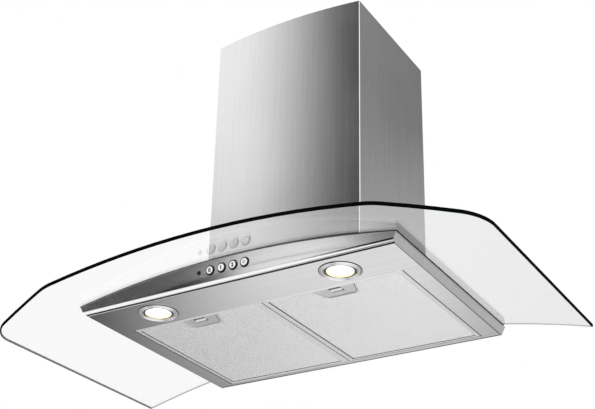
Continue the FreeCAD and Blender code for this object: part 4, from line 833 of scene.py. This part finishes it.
def digit(bm, text, place):
    """A raised digit, centred on its placement."""
    curve = bpy.data.curves.new("digit", "FONT")
    curve.body = text
    curve.size = SIGN_SIZE
    curve.extrude = SIGN_DEPTH / 2
    curve.offset = SIGN_WEIGHT
    curve.align_x = "CENTER"
    curve.align_y = "CENTER"
    curve.resolution_u = 4
    holder = bpy.data.objects.new("digit", curve)
    mesh = bpy.data.meshes.new_from_object(holder)
    low = [min(v.co[i] for v in mesh.vertices) for i in (0, 1)]
    high = [max(v.co[i] for v in mesh.vertices) for i in (0, 1)]
    shift = Matrix.Translation((-(low[0] + high[0]) / 2, -(low[1] + high[1]) / 2, SIGN_DEPTH / 2))
    mesh.transform(place @ shift)
    bm.from_mesh(mesh)
    bmesh.ops.remove_doubles(bm, verts=bm.verts, dist=WELD)
    bpy.data.objects.remove(holder)
    bpy.data.curves.remove(curve)
    bpy.data.meshes.remove(mesh)


def button(index, cap_shade_black, face_metal, sign_black):
    """A push button: a black cap with its stem, painted shade round the bright domed face, and its sign."""
    place = facing(BUTTON_X[index], BUTTON_SLOPE)
    node = f"button_{index + 1}"
    stand_for(turned_piece(disc, node + "_look", BUTTON_CAP, place, cap_shade_black), node)
    add_piece(turned_piece(disc, node + "_face", BUTTON_FACE, place, face_metal), node)
    bm = bmesh.new()
    spot = place @ Matrix.Translation((0, 0, SIGN_HEIGHT))
    if BUTTON_SIGNS[index]:
        digit(bm, BUTTON_SIGNS[index], spot)
    else:
        lamp_sign(bm, spot)
    add_piece(finished(bm, node + "_sign", sign_black), node)


# ---- filters

# Places in millimetres from the origin, heights in millimetres from the underside. The frame's
# span is the left filter's.
FILTER_MIDDLE = 130.5
FRAME_SPAN = ((-255.4, -5.6), (-313.7, -13.3))
FRAME_HALF = (FRAME_SPAN[0][1] - FRAME_SPAN[0][0]) / 2
FRAME_BORDER = 6.6
FRAME_BOTTOM = 0.3
FRAME_ROUNDING = 2.2 * MM
ROLL_REACH = (0.3, 0.05)
BESIDE_DIVIDER = 10.0
FILTER_X = {side: sign * FILTER_MIDDLE * MM for side, sign in SIDES.items()}

MESH_HALF = (FRAME_HALF - FRAME_BORDER) * MM
MESH_Y = ((FRAME_SPAN[1][0] + FRAME_BORDER) * MM, (FRAME_SPAN[1][1] - FRAME_BORDER) * MM)
MESH_Z = (UNDERSIDE_Z + 0.42 * MM, UNDERSIDE_Z + 0.88 * MM)
MESH_TILT = UNDERSIDE_Z + 0.57 * MM
DIAMOND = (6.0 * MM, 4.0 * MM)
STRAND = 0.95 * MM
STRAND_OVERLAP = 0.86
PAD_UPPER = (UNDERSIDE_Z + 5 * MM, UNDERSIDE_Z + 11 * MM)

TRAY_CORNERS = ((39.0, -307.1), (28.0, -273.6))
TRAY_MARGIN = 1.2 * MM
BORDER_FRONT = -307.0
BORDER_CORNER = (21.0, -280.6)
BORDER_RADIUS = 7.0
BORDER_WIDTH = 1.7
BORDER_Z = (0.32, 0.9)
# A black strip of painted shade at the tray's right end: its outline and heights.
TRAY_SHADE_OUTLINE = [(37.2, -307.0), (38.4, -307.0), (29.4, -279.6), (28.2, -279.6)]
TRAY_SHADE_Z = (0.28, 0.6)
LIP_TOP = UNDERSIDE_Z + 3.3 * MM
LIP_HALF = 10.2 * MM


def tray_half(y):
    """Half the latch tray's width at a place along it, in millimetres."""
    (front, front_y), (rear, rear_y) = TRAY_CORNERS
    return front + (rear - front) * (y - front_y) / (rear_y - front_y)


def in_tray(x, y):
    """Whether a place, measured from the filter's middle, lies within the latch tray."""
    return y < TRAY_CORNERS[1][1] * MM + TRAY_MARGIN and abs(x) < tray_half(y / MM) * MM + TRAY_MARGIN


def expanded_mesh(side, material):
    """The filter's expanded metal: zigzag strands that touch at their turns and leave diamond openings."""
    middle = FILTER_X[side]
    bm = bmesh.new()
    step_x, step_y = DIAMOND[0] / 2, DIAMOND[1] / 2
    rows = int((MESH_Y[1] - MESH_Y[0]) / step_y)
    columns = int(2 * MESH_HALF / step_x)
    start_y = (MESH_Y[0] + MESH_Y[1] - rows * step_y) / 2
    half_width = STRAND / 2 * math.hypot(step_x, step_y) / step_x
    for row in range(rows):
        runs = [[]]
        for column in range(columns + 1):
            x = (column - columns / 2) * step_x
            swing = step_y / 2 if (row + column) % 2 else -step_y / 2
            y = start_y + (row + 0.5) * step_y + swing * STRAND_OVERLAP
            if in_tray(x, y):
                runs.append([])
                continue
            corners = [(y - half_width, MESH_TILT), (y + half_width, MESH_Z[0]),
                       (y + half_width, MESH_Z[1]), (y - half_width, MESH_Z[1])]
            runs[-1].append([(middle + x, *corner) for corner in corners])
        for run in runs:
            if len(run) > 1:
                capped(bm, [[bm.verts.new(place) for place in ring] for ring in run])
    bmesh.ops.recalc_face_normals(bm, faces=bm.faces)
    mesh = bpy.data.meshes.new("filter_strands_" + side)
    bm.to_mesh(mesh)
    bm.free()
    add_piece(add_object("filter_strands_" + side, mesh, material), "filter_mesh_" + side)


def tray_border(side, material):
    """Flat rim round the latch tray, over the cut ends of the mesh."""
    front = tray_half(BORDER_FRONT)
    corner_x, corner_y = BORDER_CORNER
    left = arc((-corner_x, corner_y), BORDER_RADIUS, 170, 90, 6)
    right = arc((corner_x, corner_y), BORDER_RADIUS, 90, 10, 6)
    inner = [(-front, BORDER_FRONT)] + left + right + [(front, BORDER_FRONT)]
    last = len(inner) - 1
    low, high = BORDER_Z
    bm = bmesh.new()
    rings = []
    for grow, z in ((0.0, high), (0.0, low), (BORDER_WIDTH, low), (BORDER_WIDTH, high)):
        ring = []
        for i, (x, y) in enumerate(inner):
            before, after = inner[max(i - 1, 0)], inner[min(i + 1, last)]
            way = Vector((before[1] - after[1], after[0] - before[0])).normalized()
            if i in (0, last):
                way.y = 0.0
            place = (x + way.x * grow + SIDES[side] * FILTER_MIDDLE, y + way.y * grow)
            ring.append(bm.verts.new((place[0] * MM, place[1] * MM, UNDERSIDE_Z + z * MM)))
        rings.append(ring)
    bridge(bm, rings, around=False)
    for i in (0, last):
        bm.faces.new([ring[i] for ring in rings])
    add_piece(outward(bm, "tray_border_" + side, material), "latch_tray_" + side)


def tray_shade_strip(side, material):
    """Black strip along the tray's right end, where the mesh is cut: painted shade in the gap there."""
    bm = bmesh.new()
    prism(bm, [(SIDES[side] * FILTER_MIDDLE + x, y) for x, y in TRAY_SHADE_OUTLINE], TRAY_SHADE_Z)
    add_piece(outward(bm, "tray_shade_strip_" + side, material), "latch_tray_" + side)


def latch(side, plate, lip):
    """The sliding bolt: its plate near black, as painted shade in the slot, and its finger lip near white, a
    painted highlight.
    """
    piece = dressed("latch_slider_" + side, [plate, lip], bevel=0.2 * MM)
    for face in piece.data.polygons:
        if face.center.z < LIP_TOP and abs(face.center.x - FILTER_X[side]) < LIP_HALF:
            face.material_index = 1


def rolled_frame(bm):
    """The frame's lower outer edges are rolled, except beside the divider."""
    front, rear = FRAME_SPAN[1]

    def outer(e):
        if any(abs((v.co.z - UNDERSIDE_Z) / MM - FRAME_BOTTOM) > ROLL_REACH[1] for v in e.verts):
            return False
        middle = (e.verts[0].co + e.verts[1].co) / (2 * MM)
        x, y = abs(middle.x), middle.y
        away = min(abs(abs(x - FILTER_MIDDLE) - FRAME_HALF), abs(y - front), abs(y - rear))
        upright = any(abs(f.normal.z) < 0.5 for f in e.link_faces)
        return upright and away < ROLL_REACH[0] and x > BESIDE_DIVIDER

    bm.normal_update()
    round_edges(bm, FRAME_ROUNDING, 4, chosen=outer)


# Black strips of painted shade along the filters' frames, their opening, the divider and the rear hem.
FRAME_SHADE_INSET = (7.0, 8.6)
DIVIDER_SIDE_SHADE = (5.0, 6.7)
FRAME_SHADE_Z = (0.22, 0.6)
OPENING_SHADE_SPAN = ((-257.4, 257.4), (-315.4, -11.9))
OPENING_SHADE_INSET = (0.0, 1.3)
OPENING_SHADE_Z = (-0.12, 0.2)
DIVIDER_SHADE_LINE = ((0.2, 1.9), (-312.0, -15.0))
REAR_SHADE_LINE = ((-284.0, 284.0), (-5.2, -2.8))
LINE_Z = (-0.05, 0.2)


def strip(bm, x, y, heights):
    """Add a thin flat bar between two places on each axis."""
    prism(bm, [(x[0], y[0]), (x[1], y[0]), (x[1], y[1]), (x[0], y[1])], heights)


def border_lines(bm, span, inset, heights, sides):
    """Add lines that run at an inset along the chosen sides of a rectangle."""
    (x0, x1), (y0, y1) = span
    near, far = inset
    whole_x, whole_y = (x0 + near, x1 - near), (y0 + near, y1 - near)
    places = {"left": ((x0 + near, x0 + far), whole_y), "right": ((x1 - far, x1 - near), whole_y),
              "rear": (whole_x, (y1 - far, y1 - near))}
    for side in sides:
        strip(bm, *places[side], heights)


def filter_lines(material):
    """Black strips of painted shade: dark lines where the filters' frames seem grooved, and lines at their
    opening, the divider and the rear hem.
    """
    left = FRAME_SPAN
    right = ((-left[0][1], -left[0][0]), left[1])
    bordered = [
        ("frame_shade_left", "filter_frame_left", [(left, FRAME_SHADE_INSET, FRAME_SHADE_Z, ("left", "rear"))]),
        ("frame_shade_right", "filter_frame_right", [(right, FRAME_SHADE_INSET, FRAME_SHADE_Z, ("rear",)),
                                                      (right, DIVIDER_SIDE_SHADE, FRAME_SHADE_Z, ("left",))]),
        ("opening_shade", "underside_pan", [(OPENING_SHADE_SPAN, OPENING_SHADE_INSET, OPENING_SHADE_Z, ("left", "right"))]),
    ]
    for name, node, lines in bordered:
        bm = bmesh.new()
        for line in lines:
            border_lines(bm, *line)
        add_piece(outward(bm, name, material), node)
    straight = [("divider_shade_line", "filter_divider", DIVIDER_SHADE_LINE), ("rear_shade_line", "underside_pan", REAR_SHADE_LINE)]
    for name, node, (x, y) in straight:
        bm = bmesh.new()
        strip(bm, x, y, LINE_Z)
        add_piece(outward(bm, name, material), node)


# ---- stage

FLOOR_Z = -4.5
FLOOR_HALF = 200.0
LIGHTS = [   # name, place, size and power
    ("key", (-2.2, -2.4, 2.0), (2.0, 2.0), 60.0),
    ("fill", (1.8, -2.4, -1.4), (2.4, 1.6), 30.0),
]
LIGHT_TARGET = (0, -0.2, 0)


def make_floor():
    """A pale floor. The metal mirrors the studio in its place, and the glass still shows it behind itself."""
    mesh = bpy.data.meshes.new("floor")
    corners = [(x * FLOOR_HALF, y * FLOOR_HALF, FLOOR_Z) for x, y in ((-1, -1), (1, -1), (1, 1), (-1, 1))]
    mesh.from_pydata(corners, [], [(0, 1, 2, 3)])
    material, tree, shader = start_material("floor", Roughness=0.9)
    tree.put(shader.inputs["Base Color"], colour(0.86, 0.86, 0.86))
    ray = tree.node("ShaderNodeLightPath").outputs
    let_through(tree, shader, tree.math("MULTIPLY", ray["Is Glossy Ray"], ray["Is Reflection Ray"]))
    add_object("floor", mesh, material)


# Soft boxes and flags of the studio, as seen from the hood: from and to azimuth, from and to
# elevation, the width of their soft edges on each of the four sides, all in degrees, and how
# bright they are. Azimuth 0 is straight in front, and -90 is to the left.
STUDIO = [
    ("ceiling", (-180, 180), (20, 90), (1, 1, 12, 1), 0.40),
    ("rear_top", (154.2, 180), (33, 90), (4, 1, 8, 1), 0.03),
    ("bend_light", (40, 85), (8, 70), (8, 8, 6, 5), 1.6),
    ("hem_light", (130, 150), (4, 18), (6, 4, 2, 5), 1.5),
    ("front_flag", (-60, 12), (20, 80), (20, 14, 6, 10), 0.02),
    ("left_softbox", (-125, -44.5), (29.5, 75), (25, 34, 9, 12), 1.05),
    ("front_floor", (-120, 120), (-89, -29), (12, 15, 1, 5), 1.1),
    ("low_flag", (-80, -12), (-25, 17), (12, 10, 4, 5), 0.15),
    ("low_flag_dark", (-80, -35), (-25, 17), (12, 3, 4, 5), 0.02),
    ("strip_light", (-31.5, -28.3), (10, 17), (1.4, 4.0, 3, 4), 0.92),
    ("low_strip", (-31.5, -29), (-17, -10), (1.4, 4.0, 4, 3), 0.95),
    ("rear_low", (-180, -120), (-60, -6), (1, 12, 8, 5), 0.25),
    ("rear_flag", (-150, -125), (-60, -8), (1, 12, 8, 5), 0.05),
    ("rear_floor", (-153.5, -148.5), (-90, -26), (12, 13, 1, 12), 0.84),
    ("deep_floor", (-180, 180), (-90, -40), (1, 1, 1, 6), 1.1),
    ("corner_flag", (-32.0, -8), (-43, -20), (1.0, 6, 4, 4), 0.0),
    ("wall_flag", (-180, -167), (-44, -20), (1, 5, 5, 5), 0.04),
    ("edge_flag", (158, 180), (-44, -15), (6, 1, 5, 5), 0.22),
    ("nose_flag", (-80, -18), (-89, -50), (6, 6, 1, 4), 0.1),
]
STUDIO_BASE = 0.5
AMBIENT = 0.62
GLASS_BACKDROP = (-28, -14, 1.0, 0.75)   # from and to elevation, and how bright at each
GLASS_HORIZON = (0.0, 10.0, 1.0, 0.0)   # from and to elevation, and the backdrop's share at each


def studio_level(tree, azimuth, elevation):
    """How bright the studio is in a direction: each box or flag covers the ones before it."""
    level = STUDIO_BASE
    for _, (az0, az1), (el0, el1), (soft_a0, soft_a1, soft_e0, soft_e1), bright in STUDIO:
        edges = [tree.ramp(azimuth, az0 - soft_a0, az0), tree.ramp(azimuth, az1, az1 + soft_a1, 1.0, 0.0),
                 tree.ramp(elevation, el0 - soft_e0, el0), tree.ramp(elevation, el1, el1 + soft_e1, 1.0, 0.0)]
        mask = edges[0]
        for edge in edges[1:]:
            mask = tree.math("MULTIPLY", mask, edge)
        level = tree.blend(mask, level, bright)
    return level


def make_world():
    """The metal reflects the studio. A white backdrop shows straight on, through the glass, and in place of
    what lies below the horizon in the glass's own reflections."""
    world = bpy.data.worlds.new("studio")
    bpy.context.scene.world = world
    world.use_nodes = True
    tree = Tree(world.node_tree)
    way = tree.split(tree.node("ShaderNodeTexCoord").outputs["Generated"])
    azimuth = tree.math("DEGREES", tree.math("ARCTAN2", way[0], tree.math("MULTIPLY", way[1], -1.0)))
    elevation = tree.math("DEGREES", tree.math("ARCSINE", way[2]))
    ray = tree.node("ShaderNodeLightPath").outputs
    level = studio_level(tree, azimuth, elevation)
    strength = tree.blend(ray["Is Diffuse Ray"], level, AMBIENT)
    mirror = tree.math("MULTIPLY", ray["Is Singular Ray"], ray["Is Reflection Ray"])
    mirror = tree.math("MULTIPLY", mirror, tree.math("LESS_THAN", ray["Glossy Depth"], 1.5))
    mirror = tree.math("MULTIPLY", mirror, tree.ramp(elevation, *GLASS_HORIZON))
    strength = tree.blend(mirror, strength, tree.ramp(elevation, *GLASS_BACKDROP))
    unmirrored = tree.math("LESS_THAN", ray["Glossy Depth"], 0.5)
    through = tree.math("MULTIPLY", ray["Is Transmission Ray"], unmirrored)
    strength = tree.blend(tree.math("MAXIMUM", ray["Is Camera Ray"], through), strength, 1.0)
    back = tree.node("ShaderNodeBackground")
    tree.put(back.inputs["Color"], colour(1.0, 1.0, 1.0))
    tree.put(back.inputs["Strength"], strength)
    output = tree.node("ShaderNodeOutputWorld")
    tree.put(output.inputs["Surface"], back.outputs[0])


def make_light(name, place, size, power):
    data = bpy.data.lights.new(name, "AREA")
    data.shape = "RECTANGLE"
    data.size, data.size_y = size
    data.energy = power
    light = bpy.data.objects.new(name, data)
    bpy.context.scene.collection.objects.link(light)
    light.location = place
    light.rotation_euler = (Vector(LIGHT_TARGET) - Vector(place)).to_track_quat("-Z", "Y").to_euler()
    light.visible_camera = light.visible_glossy = light.visible_transmission = False


# ---- assembly

# CAD nodes that get softer edges and a better surface: their look, and the rounding in millimetres.
DRESSED = {
    "body_top": ("zinc", 0.0),
    "fan_box": ("zinc", 0.3),
    "ceiling_bracket": ("zinc", 0.3),
    "chimney_clips": ("zinc", 0.3),
    "motor_bracket": ("zinc", 0.4),
    "control_housing": ("black_plastic", 0.3),
    "lamp_transformer": ("black_plastic", 0.0),
    "terminal_box": ("black_plastic", 0.6),
    "cable_gland": ("black_plastic", 0.4),
    "outlet_collar": ("outlet_plastic", 0.0),
    "damper_flap_front": ("outlet_plastic", 0.25),
    "damper_flap_rear": ("outlet_plastic", 0.25),
}

# Looks of the CAD nodes that show as they are.
PAINTED = {
    # the filter pads carry painted shade in the openings of their grid
    "filter_pad": ["filter_mesh_left", "filter_mesh_right"],
    "reflector": ["lamp_reflector_left", "lamp_reflector_right"],
    "clear_glass": ["lamp_bulb_left", "lamp_bulb_right"],
    "ceramic": ["lamp_socket_left", "lamp_socket_right"],
    # the button rings are black as painted shade round the buttons; the washers are rubber
    "black_rubber": ["button_rings", "glass_washers"],
    "indicator": ["indicator_lens"],
    "chrome": ["glass_screws"],
    "board": ["control_board"],
    "lead_sheath": ["lamp_leads"],
    "grey_plastic": ["impeller"],
    "motor_paint": ["motor"],
    "plated": ["motor_shaft", "outlet_screws", "flap_pins"],
}


def make_hood(look):
    steel, fascia_steel, rubber = look["steel"], look["fascia_steel"], look["black_rubber"]
    frame_metal = look["frame_aluminium"]
    glass_visor(look["clear_glass"], look["rim_painted_dark"], look["rim_painted_light"])
    dressed("chimney_lower", steel, bevel=0.3 * MM, along="Z", edit=chimney_bends)
    dressed("chimney_upper", steel, bevel=0.3 * MM, along="Z")
    front_fascia(fascia_steel)
    # a black strip of painted shade in the seam
    seam_shade(rubber)
    dressed("underside_pan", fascia_steel, bevel=0.45 * MM, segments=3, edit=pan_edges)
    side_hems(fascia_steel)
    dressed("glass_gasket", rubber, bevel=0.4 * MM, edit=bulging)
    dressed("filter_divider", frame_metal, bevel=0.4 * MM, along="Y")
    # black strips of painted shade round the filters
    filter_lines(rubber)
    for side in SIDES:
        dressed("filter_frame_" + side, frame_metal, bevel=0.4 * MM, edit=rolled_frame)
        dressed("latch_tray_" + side, look["tray_metal"], bevel=0.25 * MM)
        latch(side, look["slot_shade_black"], look["lip_highlight_white"])
        tray_border(side, frame_metal)
        tray_shade_strip(side, rubber)
        expanded_mesh(side, look["mesh_aluminium"])
        coil("latch_spring_" + side, look["spring_wire"])
        lamp(side, look["lamp_chrome"], rubber, look["lamp_face_" + side])
        dressed("fan_casing_" + side, look["black_plastic"], bevel=0.4 * MM)
    for i in range(len(BUTTON_X)):
        button(i, rubber, look["button_white"], rubber)
        coil(f"button_spring_{i + 1}", look["spring_wire"])
    for node, (name, bevel) in DRESSED.items():
        dressed(node, look[name], bevel=bevel * MM)
    for name, nodes in PAINTED.items():
        for node in nodes:
            paint_node(node, look[name])


def main():
    bpy.context.scene.view_settings.view_transform = "Standard"
    make_camera()
    make_floor()
    make_world()
    for light in LIGHTS:
        make_light(*light)
    make_hood(make_looks())


main()
